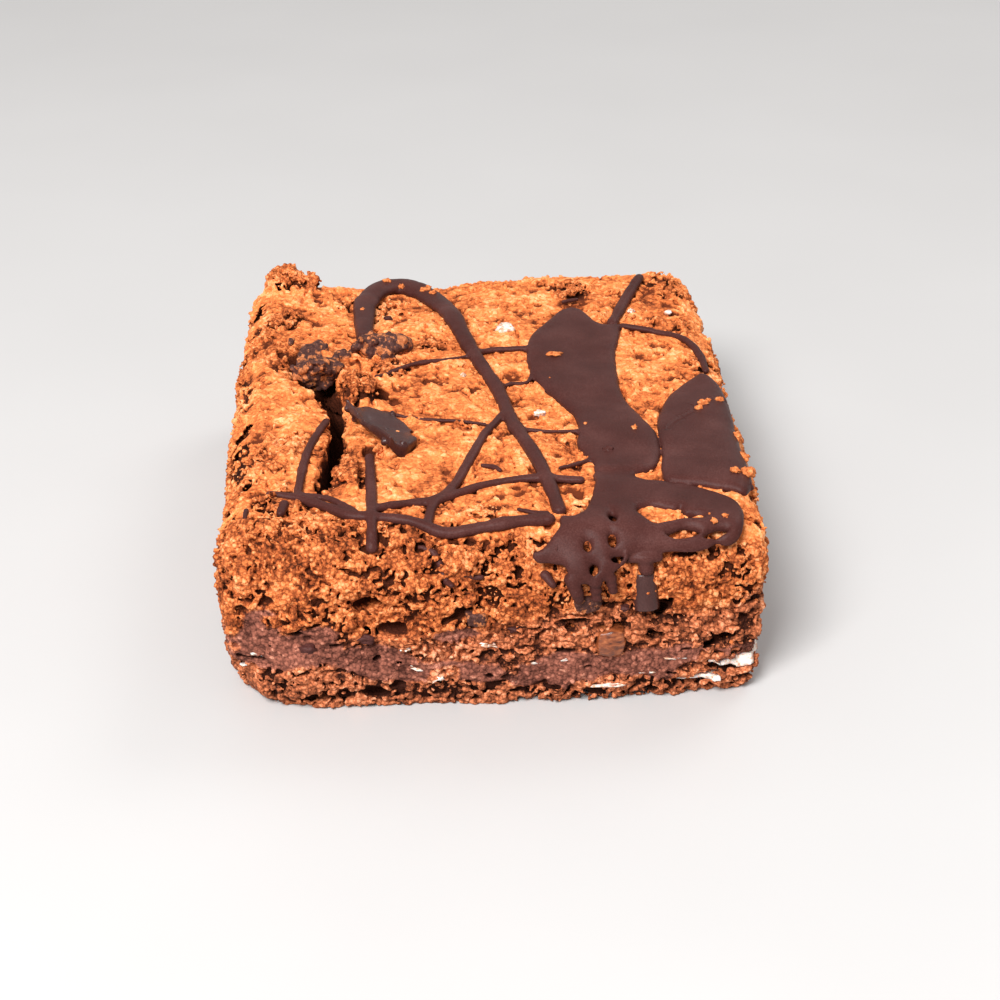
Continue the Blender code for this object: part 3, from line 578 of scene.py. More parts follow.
PUNCTURES = [
    ((11.5, -47.4), (0.55, 0.65)), ((15.0, -46.9), (0.6, 0.9)), ((15.5, -43.0), (0.5, 1.15)),
    ((12.2, -49.7), (0.6, 0.5)),
]


def closed_route(outline, per_span=4):
    """A smooth closed curve through an outline."""
    given = np.array(outline, float)
    before, after, later = np.roll(given, 1, 0), np.roll(given, -1, 0), np.roll(given, -2, 0)
    square, cube = 2 * before - 5 * given + 4 * after - later, 3 * given - before - 3 * after + later
    parts = np.arange(per_span) / per_span
    spans = [0.5 * (2 * given + (after - before) * t + square * t**2 + cube * t**3) for t in parts]
    return np.stack(spans, axis=1).reshape(-1, 2)


def outline_distance(grid, outline):
    """Signed distance to a closed outline over a grid's columns, negative inside."""
    x, y = grid.x[:, :, 0].astype(float), grid.y[:, :, 0].astype(float)
    nearest = np.full(grid.shape[:2], 1e9)
    inside = np.zeros(grid.shape[:2], bool)
    ring = closed_route(outline)
    for (ax, ay), (bx, by) in zip(ring, np.roll(ring, -1, 0)):
        ex, ey = bx - ax, by - ay
        t = np.clip(((x - ax) * ex + (y - ay) * ey) / (ex * ex + ey * ey + 1e-12), 0.0, 1.0)
        nearest = np.minimum(nearest, (x - ax - ex * t) ** 2 + (y - ay - ey * t) ** 2)
        inside ^= ((ay > y) != (by > y)) & (x < (bx - ax) * (y - ay) / (by - ay + 1e-12) + ax)
    return (np.where(inside, -1.0, 1.0) * np.sqrt(nearest)).astype(np.float32)


# %% Shave the fused strings off the crumb
BESIDE_STRAND, BESIDE_POOL = 0.9, 0.25  # how far past their edges the crumb is kept low
near_strand = np.full(body_grid.shape[:2], 9.0, np.float32)
for route in STRANDS.values():
    for x, y, half in smooth_route(route, 1.0):
        distance = np.hypot(body_grid.x[:, :, 0] - x, body_grid.y[:, :, 0] - y) - half
        near_strand = np.minimum(near_strand, distance)
shaved = body_grid.z - crust_map - 0.1
under_strand = near_strand[:, :, None] < BESIDE_STRAND
body = np.where(under_strand, np.maximum(body, shaved), body)
in_pool = np.full(body_grid.shape[:2], 9.0, np.float32)
for outline in POOLS.values():
    in_pool = np.minimum(in_pool, outline_distance(body_grid, outline))
under_pool = (in_pool < BESIDE_POOL)[:, :, None]

# %% [markdown]
# ## Zones of the crumb
# The top is a thin, nearly smooth crust. Below it the upper crumb is coarse, with clumps of one to
# two millimetres and dark gaps. Lower down it is flaky and browner. The fudge is dense and almost
# smooth, and the foot is fine crumb with small dark holes. Each zone is a field from 0 to 1.

# %% Zone fields
wander_large = grid_noise(body_grid, 5.0, 21)
wander_small = grid_noise(body_grid, 1.6, 22)
wobble = 0.9 * wander_large + 0.5 * wander_small + 0.5 * grid_noise(body_grid, (2.5, 2.5, 1.2), 26)
# Crumb is broken open along the front edge of the top, widest at the left corner, and in patches
below_crust = crust_map - body_grid.z
from_front = body_grid.y + DEPTH / 2
broken_edge = 2.6 + 6.0 * smooth_step(-body_grid.x, 6.0, 15.0)
broken_patches = smooth_step(grid_noise(body_grid, (7.0, 7.0, 20.0), 23) + 0.5 * wander_small, 0.25, 0.65)
# Broken lumps of crumb stand round the crater, the crack and the shard
ROUGH_SPOTS = [
    (-19.3, -0.6, 4.6), (-20.6, -26.5, 3.6), (-17.5, -20.0, 3.0), (-30.5, -33.5, 4.5), (-14.0, 9.5, 3.6),
    (-7.0, 17.5, 2.6), (-32.0, 45.0, 3.8), (-27.5, 44.0, 3.0), (-9.0, -36.0, 3.0), (-31.0, 29.0, 4.0),
    (17.5, 39.0, 4.0), (3.0, -46.0, 3.0),
]
for x, y, reach in ROUGH_SPOTS:
    away = np.hypot(body_grid.x - x, body_grid.y - y) + 0.8 * wander_small
    broken_patches = np.maximum(broken_patches, 1.3 * smooth_step(-away, -reach, 1.0 - reach))
crust_zone = smooth_step(-below_crust, -1.5, -0.8)
crust_zone = crust_zone * smooth_step(from_front - broken_edge + 1.6 * wander_large, 0.0, 1.6)
crust_zone = crust_zone * (1.0 - 0.75 * np.minimum(broken_patches, 1.3))
# Crumbs show only on the cut faces, so the flat underside stays plain
across = body_grid.x - SKEW * body_grid.y
inset = np.minimum(WIDTH / 2 - np.abs(across), DEPTH / 2 - np.abs(body_grid.y))
cut_face = smooth_step(-inset, -3.6, -2.4)
# Fudge, between its two wavy surfaces, and lumps of it in the crumb over it
fudge_zone = smooth_step(fudge_top_map - body_grid.z + wobble, -0.2, 0.4)
fudge_zone = fudge_zone * smooth_step(body_grid.z - fudge_foot_map + wobble, -0.2, 0.4)
FUDGE_LUMPS = [
    (-33.9, 14.8, 2.6, 2.4), (-33.4, 9.0, 4.2, 2.2), (-26.5, 12.6, 3.4, 2.3), (-19.5, 9.6, 5.0, 1.6),
    (-7.0, 12.5, 3.0, 1.0),
]
for x, z, half, tall in FUDGE_LUMPS:
    lump = np.hypot((body_grid.x - x) / half, (body_grid.z - z) / tall) + 0.16 * wobble
    fudge_zone = np.maximum(fudge_zone, smooth_step(-lump, -1.05, -0.9) * (from_front < 6.0))
lumps_elsewhere = smooth_step(grid_noise(body_grid, (7.0, 7.0, 3.5), 24), 0.55, 0.65)
lumps_elsewhere = lumps_elsewhere * (body_grid.z < 15.0) * (from_front > 6.0)
fudge_zone = np.maximum(fudge_zone, lumps_elsewhere)
crumbs_in_fudge = smooth_step(grid_noise(body_grid, (3.6, 3.6, 1.8), 25) + 0.4 * wander_small, 0.32, 0.5)
fudge_zone = fudge_zone * (1.0 - crumbs_in_fudge)
base_zone = smooth_step(fudge_foot_map - body_grid.z - wobble, -0.2, 0.4) * (1.0 - fudge_zone)
# Brown flaky crumb over the fudge, higher at the right of the front
flake_top = 13.4 + 2.8 * np.clip((body_grid.x + 8.0) / 22.0, 0.0, 1.0)
flake_zone = smooth_step(flake_top - body_grid.z + 1.6 * wander_large, -1.6, 1.6)
flake_zone = flake_zone * (1.0 - fudge_zone) * (1.0 - base_zone)
for name, zone in {"crust": crust_zone, "fudge": fudge_zone, "base": base_zone, "flake": flake_zone}.items():
    print("zone", name, round(float(zone[np.abs(body) < VOXEL].mean()), 3))
del wobble, broken_patches, lumps_elsewhere, crumbs_in_fudge, below_crust, lump

# %% [markdown]
# ## Crumbs
# A cut face of cake is a heap of crumbs stuck together. The smooth body is first worn back by the
# depth of a crumb, and then thousands of lumps are added along its old surface. Each lump is a
# squashed ball, and a noise that bends space makes it ragged. Small lumps fill between large ones,
# and the worn surface behind them stays as dark gaps, which the finish also paints darker as painted shade.

# %% Add crumbs to a field
def surface_seeds(field, grid, density, draw):
    """Random places on a field's surface and the directions out of it. Density is per square mm."""
    near = np.argwhere(np.abs(field[1:-1, 1:-1, 1:-1]) < 0.5 * grid.voxel) + 1
    i, j, k = near.T
    chance = density[i, j, k] * grid.voxel**2
    near = near[draw.uniform(size=len(near)) < chance]
    i, j, k = near.T
    slope_x = field[i + 1, j, k] - field[i - 1, j, k]
    slope_y = field[i, j + 1, k] - field[i, j - 1, k]
    slope_z = field[i, j, k + 1] - field[i, j, k - 1]
    slope = np.stack([slope_x, slope_y, slope_z], axis=1)
    slope /= np.linalg.norm(slope, axis=1, keepdims=True) + 1e-6
    places = near * grid.voxel + grid.low + draw.uniform(-0.5, 0.5, near.shape) * grid.voxel
    return places, slope


def add_lumps(field, tone, grid, centres, radii, tones, warp, width):
    """Melt squashed balls into a field, and write each one's tone where it is the surface."""
    low, voxel = grid.low, grid.voxel
    reach = radii.max(axis=1) * 1.25 + 0.5
    first = np.maximum(np.floor((centres - reach[:, None] - low) / voxel).astype(int), 0)
    last = np.minimum(np.ceil((centres + reach[:, None] - low) / voxel).astype(int) + 1, grid.shape)
    for centre, size, value, a, b in zip(centres, radii, tones, first, last):
        if (b <= a).any():
            continue
        block = (slice(a[0], b[0]), slice(a[1], b[1]), slice(a[2], b[2]))
        dx = (grid.x[a[0]:b[0]] - centre[0] + warp[0][block]) / size[0]
        dy = (grid.y[:, a[1]:b[1]] - centre[1] + warp[1][block]) / size[1]
        dz = (grid.z[:, :, a[2]:b[2]] - centre[2] + warp[2][block]) / size[2]
        ball = (np.sqrt(dx * dx + dy * dy + dz * dz) - 1.0) * size.min()
        old = field[block]
        tone[block][ball < old] = value
        field[block] = melt(old, ball, width)


# %% Wear the body back and heap the crumbs on
wide_warp = [0.16 * grid_noise(body_grid, 0.9, 31 + axis) for axis in range(3)]
warp = [wide + 0.10 * grid_noise(body_grid, 0.5, 41 + axis) for axis, wide in enumerate(wide_warp)]
draw = np.random.default_rng(5)
coarse_zone = (1.0 - crust_zone) * (1.0 - fudge_zone) * (1.0 - base_zone) * (1.0 - flake_zone)
foot_zone = base_zone * cut_face
worn = 0.85 * coarse_zone + 0.65 * flake_zone + 0.8 * foot_zone + 0.10 * fudge_zone + 0.10 * crust_zone
uneven = 0.45 * grid_noise(body_grid, 2.6, 51) + 0.2 * wander_small
crumb = body + worn * (1.0 + 0.6 * uneven) + 0.55 * coarse_zone * wander_large
layered = grid_noise(body_grid, (3.5, 3.5, 0.9), 52)
crumb += 0.30 * flake_zone * layered
tone = np.full(body_grid.shape, 0.2, np.float32)

CRUMB_SORTS = {
    # name: (zone, count per square mm, radii in mm, how far it stands out, flatness, tones)
    "clumps": (coarse_zone, 0.30, (0.55, 1.25), (-0.6, 0.1), 0.9, (0.2, 0.6)),
    "crumbs": (coarse_zone, 1.30, (0.28, 0.60), (-0.3, 0.8), 0.9, (0.1, 1.0)),
    "grit": (coarse_zone, 3.20, (0.20, 0.34), (-0.4, 1.6), 0.9, (0.2, 1.0)),
    "flakes": (flake_zone, 0.35, (0.6, 1.4), (-0.35, 0.05), 0.42, (0.2, 0.7)),
    "flake_crumbs": (flake_zone, 2.20, (0.20, 0.42), (-0.3, 1.0), 0.8, (0.1, 1.0)),
    "foot_lumps": (foot_zone, 0.35, (0.5, 1.1), (-0.4, 0.1), 0.7, (0.1, 0.7)),
    "foot_crumbs": (foot_zone, 2.60, (0.20, 0.45), (-0.3, 0.8), 0.9, (0.1, 1.0)),
    "fudge_grains": (fudge_zone * cut_face, 0.9, (0.18, 0.40), (-0.1, 0.4), 0.8, (0.3, 1.0)),
    "crust_grains": (crust_zone, 1.30, (0.20, 0.45), (-0.3, 0.5), 0.7, (0.2, 1.0)),
}
for sort, (zone, density, sizes, proud, flat, tones) in CRUMB_SORTS.items():
    places, out = surface_seeds(body, body_grid, density * zone, draw)
    radius = draw.uniform(0.0, 1.0, len(places)) ** 1.5 * (sizes[1] - sizes[0]) + sizes[0]
    radii = radius[:, None] * draw.uniform(0.8, 1.2, (len(places), 3)) * np.array([1.0, 1.0, flat])
    depth = draw.uniform(*proud, len(places)) * radius - 0.7 * radius
    centres = places + out * depth[:, None]
    values = draw.uniform(*tones, len(places))
    add_lumps(crumb, tone, body_grid, centres, radii, values, warp, 0.09)
    print(sort, len(places))

# %% [markdown]
# ## Pits, holes and the crack
# Bubbles that broke left small pits all over the crust. The larger holes have places of their own,
# on the top and on the front. The crack is a trench along a route, deepest by the crater. Each is a
# ragged hollow that is taken out of the field.

# %% Take out pits and named holes
def dig(field, grid, centre, radii, ragged=0.5):
    """Subtract a ragged hollow from a field."""
    x, y, z = centre
    hollow = np.sqrt(((grid.x - x) / radii[0]) ** 2 + ((grid.y - y) / radii[1]) ** 2
                     + ((grid.z - z) / radii[2]) ** 2)
    return np.maximum(field, -((hollow - 1.0) * min(radii) + ragged * 0.5 * wander_small))


def crust_at(x, y):
    return float(map_at(crust_map, body_grid, x, y))


TOP_HOLES = {
    # (x, y): half sizes in mm
    (-28.9, 14.0): (2.0, 2.2, 3.5), (-26.2, 3.6): (2.2, 2.2, 4.0), (-15.9, -0.4): (1.3, 2.6, 2.6),
    (-13.9, -3.6): (0.9, 1.8, 1.6), (-15.4, -21.0): (1.9, 1.5, 2.2), (-18.0, -19.0): (1.3, 1.8, 2.2),
    (-20.6, 27.2): (2.0, 0.6, 0.9), (16.1, 39.8): (2.2, 1.4, 1.6), (5.2, 6.6): (1.4, 1.6, 0.9),
    (5.8, -4.8): (1.0, 1.2, 0.8), (7.4, -9.3): (0.9, 1.1, 0.9), (2.4, -15.2): (1.8, 0.9, 0.8),
    (11.6, -35.6): (0.9, 2.2, 1.1), (22.5, -41.2): (1.6, 0.7, 0.9), (-9.0, 12.5): (1.6, 0.8, 0.7),
    (30.5, 3.0): (0.7, 0.9, 0.6), (26.8, 11.5): (0.8, 0.9, 0.5),
}
for (x, y), (a, b) in PUNCTURES:
    TOP_HOLES[(x, y)] = (a + 0.5, b + 0.5, 3.2)
for (x, y), radii in TOP_HOLES.items():
    crumb = dig(crumb, body_grid, (x, y, crust_at(x, y) + 0.2), radii)
FRONT_HOLES = {
    # (x, z): half sizes in mm
    (-18.5, 17.4): (2.3, 3.4, 1.1), (-16.0, 13.4): (2.6, 2.2, 1.2), (-27.4, 2.0): (2.2, 2.6, 0.6),
    (-31.6, 2.2): (0.9, 2.0, 0.5), (-22.6, 2.3): (1.3, 2.0, 0.6), (-15.2, 3.9): (1.1, 2.0, 0.7),
    (-9.6, 2.2): (1.2, 1.8, 0.45), (30.7, 10.1): (1.9, 2.4, 0.55), (21.5, 10.8): (1.5, 2.0, 0.5),
    (26.0, 8.4): (1.6, 1.8, 0.35), (8.0, 9.0): (1.8, 1.6, 0.35), (-24.0, 11.4): (1.4, 1.8, 0.5),
    (-33.0, 18.4): (1.2, 2.0, 0.9), (-36.2, 16.8): (1.0, 1.8, 0.8), (-29.5, 13.6): (1.4, 1.6, 0.5),
    (3.5, 13.0): (2.0, 1.6, 0.4), (24.5, 13.5): (2.0, 1.6, 0.4), (34.4, 12.6): (1.2, 1.8, 0.5),
    (1.8, 2.4): (1.2, 1.6, 0.4), (12.6, 2.0): (1.3, 1.6, 0.4),
}
for (x, z), radii in FRONT_HOLES.items():
    crumb = dig(crumb, body_grid, (x, -DEPTH / 2, z), radii, 0.4)
CRACK = [
    (-27.5, 12.0, 2.2, 6.5), (-26.0, 5.0, 2.0, 8.5), (-23.6, 0.6, 1.5, 9.5), (-22.9, -7.0, 1.1, 9.5),
    (-23.2, -15.5, 1.0, 9.5), (-24.0, -22.0, 0.9, 8.5), (-24.8, -28.0, 0.7, 6.0), (-25.8, -31.5, 0.4, 3.0),
]
crack_edge = np.full(body_grid.shape[:2], 9.0, np.float32)
crack_floor = np.full(body_grid.shape[:2], 20.0, np.float32)
for x, y, half, deep in smooth_route(CRACK, 0.5):
    away = np.hypot(body_grid.x[:, :, 0] - x, body_grid.y[:, :, 0] - y) - half
    crack_floor = np.where(away < crack_edge, CRUST_TOP - deep, crack_floor)
    crack_edge = np.minimum(crack_edge, away)
crack = np.maximum(crack_edge[:, :, None] + 0.35 * wander_small, crack_floor[:, :, None] - body_grid.z)
crumb = np.maximum(crumb, -crack)
crust_cracks = np.abs(grid_noise(body_grid, (4.5, 4.5, 40.0), 64) + 0.25 * wander_small)
crumb += 0.55 * crust_zone * smooth_step(-crust_cracks, -0.07, -0.01)
fudge_holes = grid_noise(body_grid, (1.6, 1.6, 1.0), 65)
fudge_holes = np.maximum(fudge_holes, grid_noise(body_grid, (2.6, 2.6, 1.2), 66)) - 0.78
crumb += 2.2 * smooth_step(fudge_holes, 0.0, 0.2) * cut_face * (body_grid.z < 17.0)
pits, out = surface_seeds(body, body_grid, 0.26 * crust_zone, draw)
pit_sizes = 0.2 + 0.7 * draw.uniform(0.0, 1.0, (len(pits), 1)) ** 3 * draw.uniform(0.7, 1.3, (len(pits), 3))
hollow_field, nothing = np.full(body_grid.shape, 3.0, np.float32), np.zeros(body_grid.shape, np.float32)
add_lumps(hollow_field, nothing, body_grid, pits - 0.1 * out, pit_sizes, np.zeros(len(pits)), warp, 0.05)
crumb = np.maximum(crumb, -hollow_field)
print("pits", len(pits))

# %% Fine grain
fine = grid_noise(body_grid, 0.6, 61)
middle = grid_noise(body_grid, 1.3, 62)
crumb += 0.06 * fine * (1.0 - 0.5 * fudge_zone) + 0.09 * middle * (1.0 - 0.4 * fudge_zone)
crumb += crust_zone * (0.22 * grid_noise(body_grid, 2.4, 63) + 0.08 * fine)
crumb = np.maximum(crumb, 0.02 - body_grid.z)

# Keep the crust low under the drizzle and the pools, and open the slots of the marshmallow
crumb = np.where(under_strand, np.maximum(crumb, shaved - 0.05), crumb)
pressed = body_grid.z - pool_map - 0.15 + 0.25 * wander_small + 0.15 * middle
crumb = np.where(under_pool, np.maximum(crumb, pressed), crumb)
for name in ("marshmallow_ribbon_high", "marshmallow_ribbon_low"):
    crumb = np.maximum(crumb, 0.05 - solid_field(name, body_grid))
del warp, wide_warp, worn, uneven, layered, hollow_field, nothing, crack, crust_cracks, fudge_holes, pressed

# %% [markdown]
# ## From field to closed pieces
# One field holds all the crumb, so that its lumps run on across the layers. Each piece is the part
# of it between two heights, such as the wavy surfaces of the fudge, and inside a box. Neighbours lap
# over each other by a fraction of a voxel, so that no groove shows where they meet.

# %% Cut the field up
LAP = 0.15
THRIFT = 0.18  # how far flat cells of the crumb's mesh are merged


def crumb_values(points):
    """What the finish needs to know at points of the crumb's surface."""
    last = np.array(body_grid.shape) - 1
    cells = tuple(np.clip(np.round((points - body_grid.low) / VOXEL).astype(int), 0, last).T)
    # Anything well inside the outline and deeper than the crust is the wall of a hole, which the finish
    # paints darker as painted shade
    sunk = map_at(crust_map, body_grid, points[:, 0], points[:, 1]) - points[:, 2] - 1.0
    from_side = WIDTH / 2 - np.abs(points[:, 0] - SKEW * points[:, 1])
    from_edge = np.minimum(from_side, DEPTH / 2 - np.abs(points[:, 1]))
    hole_wall_shade = np.maximum(sunk, 0.0) * smooth_step(from_edge, 5.0, 8.0)
    return {
        "tone": tone[cells],
        # How deep a point lies inside the smooth body, for the finish to paint it darker: painted shade, and
        # partly the darker inside of the crumb
        "hollow": np.maximum(-sample(body, body_grid, points), hole_wall_shade * 0.45),
        "crust": crust_zone[cells],
        "fudge": fudge_zone[cells],
        "base": base_zone[cells],
        "flake": flake_zone[cells],
    }


def cut_piece(low, high, floor=None, roof=None):
    """The crumb inside a box and between two height maps: points and triangles."""
    start = [max(int(value) - 3, 0) for value in (np.array(low) - body_grid.low) / VOXEL]
    end = [int(value) + 5 for value in (np.array(high) - body_grid.low) / VOXEL]
    block = tuple(slice(a, min(b, count)) for a, b, count in zip(start, end, body_grid.shape))
    x, y, z = body_grid.x[block[0]], body_grid.y[:, block[1]], body_grid.z[:, :, block[2]]
    part = crumb[block]
    for place, a, b in zip((x, y, z), low, high):
        part = np.maximum(part, np.maximum(a - LAP - place, place - b - LAP))
    if floor is not None:
        part = np.maximum(part, floor[block[:2]] - LAP - z)
    if roof is not None:
        part = np.maximum(part, z - roof[block[:2]] - LAP)
    corner = body_grid.low + np.array(start) * VOXEL
    return skin(part, Grid(corner, corner + 1.0, VOXEL), THRIFT)


# %% The layers
FAR = 99.0
SPLIT_Y = [-FAR, -27.0, -1.0, 23.0, FAR]
ROWS = ("front", "near", "far", "back")
LAYERS = {  # heights between which each lies, its node and its slot
    "fudge": (fudge_foot_map, fudge_top_map, "fudge_layer", "fudge"),
    "foot": (None, fudge_foot_map, "base_crumb", "base"),
    "upper": (fudge_top_map, None, "cake_top", "crumb"),
}
parts = [("fudge_band", "fudge", (-FAR, -FAR), (FAR, FAR))]
for side, west, east in (("left", -FAR, 0.0), ("right", 0.0, FAR)):
    parts.append((f"foot_crumb_{side}", "foot", (west, -FAR), (east, FAR)))
    for row, south, north in zip(ROWS, SPLIT_Y, SPLIT_Y[1:]):
        parts.append((f"crumb_{row}_{side}", "upper", (west, south), (east, north)))
crumb_pieces = {}
for name, layer, low, high in parts:
    floor_map, roof_map, node, slot = LAYERS[layer]
    points, triangles = cut_piece((*low, -FAR), (*high, FAR), floor_map, roof_map)
    piece = mesh_object(name, points, triangles, crumb_values(points))
    crumb_pieces[name] = piece
    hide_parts(node)
    print(name, len(triangles), "triangles")

# %% [markdown]
# ## Crumb and crust finish
# All the baked layers share one finish. Values that were written at each point of the mesh say how
# crusty, flaky or fudgy the place is, how deep it lies, and which crumb it belongs to. Each kind has
# its own colours from dark to light, and fine noise moves along them. Deep places and the lines
# between grains are painted darker: painted shade, and partly the darker inside of the crumb.

# %% Crumb finish
GRAIN_BEND = 0.4
RAMP_STOPS = (0.0, 0.35, 0.6, 1.0)
CRUMB_COLOURS = {
    "orange": ((0.05, 0.010, 0.003), (0.33, 0.074, 0.020), (0.68, 0.190, 0.053), (0.95, 0.46, 0.21)),
    "brown": ((0.04, 0.010, 0.005), (0.31, 0.085, 0.034), (0.62, 0.185, 0.075), (0.90, 0.44, 0.25)),
    "fudge": ((0.05, 0.014, 0.009), (0.19, 0.063, 0.041), (0.35, 0.118, 0.075), (0.78, 0.36, 0.24)),
    "crust": ((0.12, 0.024, 0.007), (0.55, 0.135, 0.035), (0.84, 0.255, 0.072), (0.98, 0.50, 0.24)),
}


def crumb_finish():
    f = Finish("baked crumb")
    crusty, flaky, fudgy = f.attribute("crust"), f.attribute("flake"), f.attribute("fudge")
    # Deep places are painted darker: painted shade in pits, holes and gaps, and partly the darker inside of
    # the crumb
    hollow = f.step(f.attribute("hollow"), 0.05, 1.15)
    grain = f.noise(0.3, 3.0, 0.65)
    bend = {0: f.noise_colour(0.7), 1: (GRAIN_BEND * MM,) * 3, 2: f.place}
    grain_place = f.node("ShaderNodeVectorMath", {"operation": "MULTIPLY_ADD"}, bend)
    # Dark lines between grain cells: painted shade between the grains, and partly the darker matrix that
    # binds them
    cells = {"Vector": grain_place, "Scale": 1.0 / (0.55 * MM)}
    between = f.step(f.node("ShaderNodeTexVoronoi", None, cells), 0.35, 0.75)
    cell_colour = f.node("ShaderNodeTexVoronoi", None, cells, output=1)
    each = f.node("ShaderNodeSeparateColor", None, {"Color": cell_colour})
    patches = f.noise(6.0, 4.0) - 0.5
    shade = 0.58 + (f.attribute("tone") - 0.5) * 0.35 + (grain - 0.5) * 0.7
    shade = shade + (each - 0.5) * 0.34 + patches * 0.95
    shade = shade - 0.04 * (1.0 - crusty) * (1.0 - flaky) + 0.03 * crusty
    shade = shade - hollow * (0.78 - 0.34 * flaky) - between * (0.24 - 0.16 * crusty)
    ramps = {kind: f.ramp(shade, list(zip(RAMP_STOPS, colours))) for kind, colours in CRUMB_COLOURS.items()}
    colour = f.mix(flaky, ramps["orange"], ramps["brown"])
    colour = f.mix(f.attribute("base"), colour, ramps["brown"])
    colour = f.mix(fudgy, colour, ramps["fudge"])
    colour = f.mix(crusty, colour, ramps["crust"])
    relief = (grain * 0.6 + (1.0 - between) * 0.4 * (1.0 - fudgy * 0.6)) * (1.0 - 0.5 * crusty)
    return f.surface(colour, 0.75 + grain * 0.15, f.bump(relief, 0.28), {"Specular IOR Level": 0.12})


baked = crumb_finish()
for piece in crumb_pieces.values():
    piece.data.materials.append(baked)

# %% [markdown]
# ## Poured chocolate
# Each pool is a flat puddle with a round rim: its field is the distance to a rounded slab that
# follows the crust. Where one pool ran against another, the lower one dips under the lip of the upper.

# %% Pour the pools
RIM_REACH = 1.5
POOL_HALF = 0.95
CHOC_VOXEL = 0.25
choc_grid = Grid((-36.0, -52.0, 14.5), (41.5, 48.5, 31.0), CHOC_VOXEL)
choc_pools = height_maps(choc_grid)[1]
puddle_wave = 0.16 * grid_noise(choc_grid, 6.0, 71)[:, :, :1]
open_map = np.full(choc_grid.shape[:2], 9.0, np.float32)
for window in WINDOWS:
    open_map = np.minimum(open_map, outline_distance(choc_grid, window))
for (x, y), (a, b) in PUNCTURES:
    oval = (np.hypot((choc_grid.x[:, :, 0] - x) / a, (choc_grid.y[:, :, 0] - y) / b) - 1.0) * min(a, b)
    open_map = np.minimum(open_map, oval)
print("chocolate grid", choc_grid.shape)


def poured(outline, lift=0.0, openings=None):
    """A puddle with a round rim that follows the crust."""
    edge = outline_distance(choc_grid, outline)
    if openings is not None:
        edge = np.maximum(edge, -openings)
    reach = RIM_REACH if openings is None else 1.1
    rim = np.maximum(edge[:, :, None] + reach, 0.0) * (POOL_HALF / reach)
    return np.sqrt(rim**2 + (choc_grid.z - choc_pools - puddle_wave - lift) ** 2) - POOL_HALF


# The front pool dips where the other two lie on its edge
front_dip = -0.4 * smooth_step(choc_grid.y, -33.5, -30.0)
right_dip = -0.35 * smooth_step(choc_grid.y + 0.3 * (choc_grid.x - 28.0), -38.0, -35.5)
right_dip = right_dip * smooth_step(choc_grid.x, 23.5, 25.5)
chocolate = poured(POOLS["front"], front_dip + right_dip, open_map)
chocolate = np.minimum(chocolate, poured(POOLS["back"], 0.05))
chocolate = np.minimum(chocolate, poured(POOLS["right"], 0.15))

# %% [markdown]
# ## Threads and drips
# Thin threads run between the strands, and short drips hang over the front edge. A string is a row
# of squashed balls, round where it is thin and flatter where it is broad. Its heights are read off
# the crust, so that it follows every dip, while a drip carries heights of its own.

# %% Thin threads and drips
THREADS = {
    "right_of_chunk": [
        (-16.5, 5.6, 0.42), (-15.1, 6.3, 0.42), (-11.0, 9.6, 0.42), (-7.7, 10.6, 0.45), (-3.5, 11.6, 0.36),
        (0.6, 13.9, 0.32),
    ],
    "past_arch": [(-0.5, 13.4, 0.5), (3.0, 14.6, 0.55), (8.6, 14.2, 0.5)],
    "from_shard": [
        (-15.7, -7.3, 0.4), (-12.0, -9.0, 0.38), (-8.6, -10.2, 0.36), (-4.0, -11.3, 0.36),
        (-0.4, -12.5, 0.36),
    ],
    "past_branch": [(3.6, -14.0, 0.36), (5.5, -14.6, 0.36), (9.0, -15.6, 0.36), (13.4, -15.8, 0.4)],
    "to_pool": [(9.6, -27.8, 0.36), (12.4, -26.2, 0.36), (15.1, -24.4, 0.4)],
    "hook": [(2.9, 0.5, 0.36), (4.8, 2.6, 0.4), (7.3, 2.8, 0.36), (8.8, 6.5, 0.36)],
    "short_dash": [(-6.4, -47.8, 0.4), (-4.8, -47.9, 0.45), (-3.2, -48.1, 0.4)],
    "low_flake": [(-11.6, -45.0, 0.4), (-9.6, -45.8, 0.55), (-8.4, -47.6, 0.6), (-7.4, -49.3, 0.45)],
    "over_low": [(2.6, -39.2, 0.36), (4.6, -40.2, 0.4), (6.6, -40.6, 0.45)],
    "dark_curl": [(-1.6, -25.6, 0.42), (-0.1, -26.4, 0.5), (0.9, -27.6, 0.4)],
    "dash_back": [(16.2, 33.2, 0.4), (18.6, 33.9, 0.42)],
    "left_edge": [(-35.6, -36.9, 0.42), (-35.9, -39.6, 0.5)],
}
# Drips down the front face carry their own heights: x, y, z, half width
DRIPS = [
    [(9.2, -49.4, 21.4, 1.1), (9.9, -50.2, 19.6, 0.9), (10.2, -50.0, 18.4, 0.65)],
    [(12.4, -50.0, 21.0, 1.0), (12.6, -50.3, 18.9, 0.8)],
    [(14.6, -49.6, 21.4, 0.9), (14.9, -50.1, 19.8, 0.7)],
    [(5.6, -48.2, 21.6, 0.7), (6.6, -49.4, 20.6, 0.6)],
    [(16.6, -46.8, 22.9, 0.7), (17.8, -47.9, 23.5, 0.8), (19.6, -48.4, 23.8, 0.85), (21.4, -48.1, 23.5, 0.6)],
    [(19.5, -48.0, 22.9, 1.1), (19.7, -48.3, 22.0, 1.2)],
]

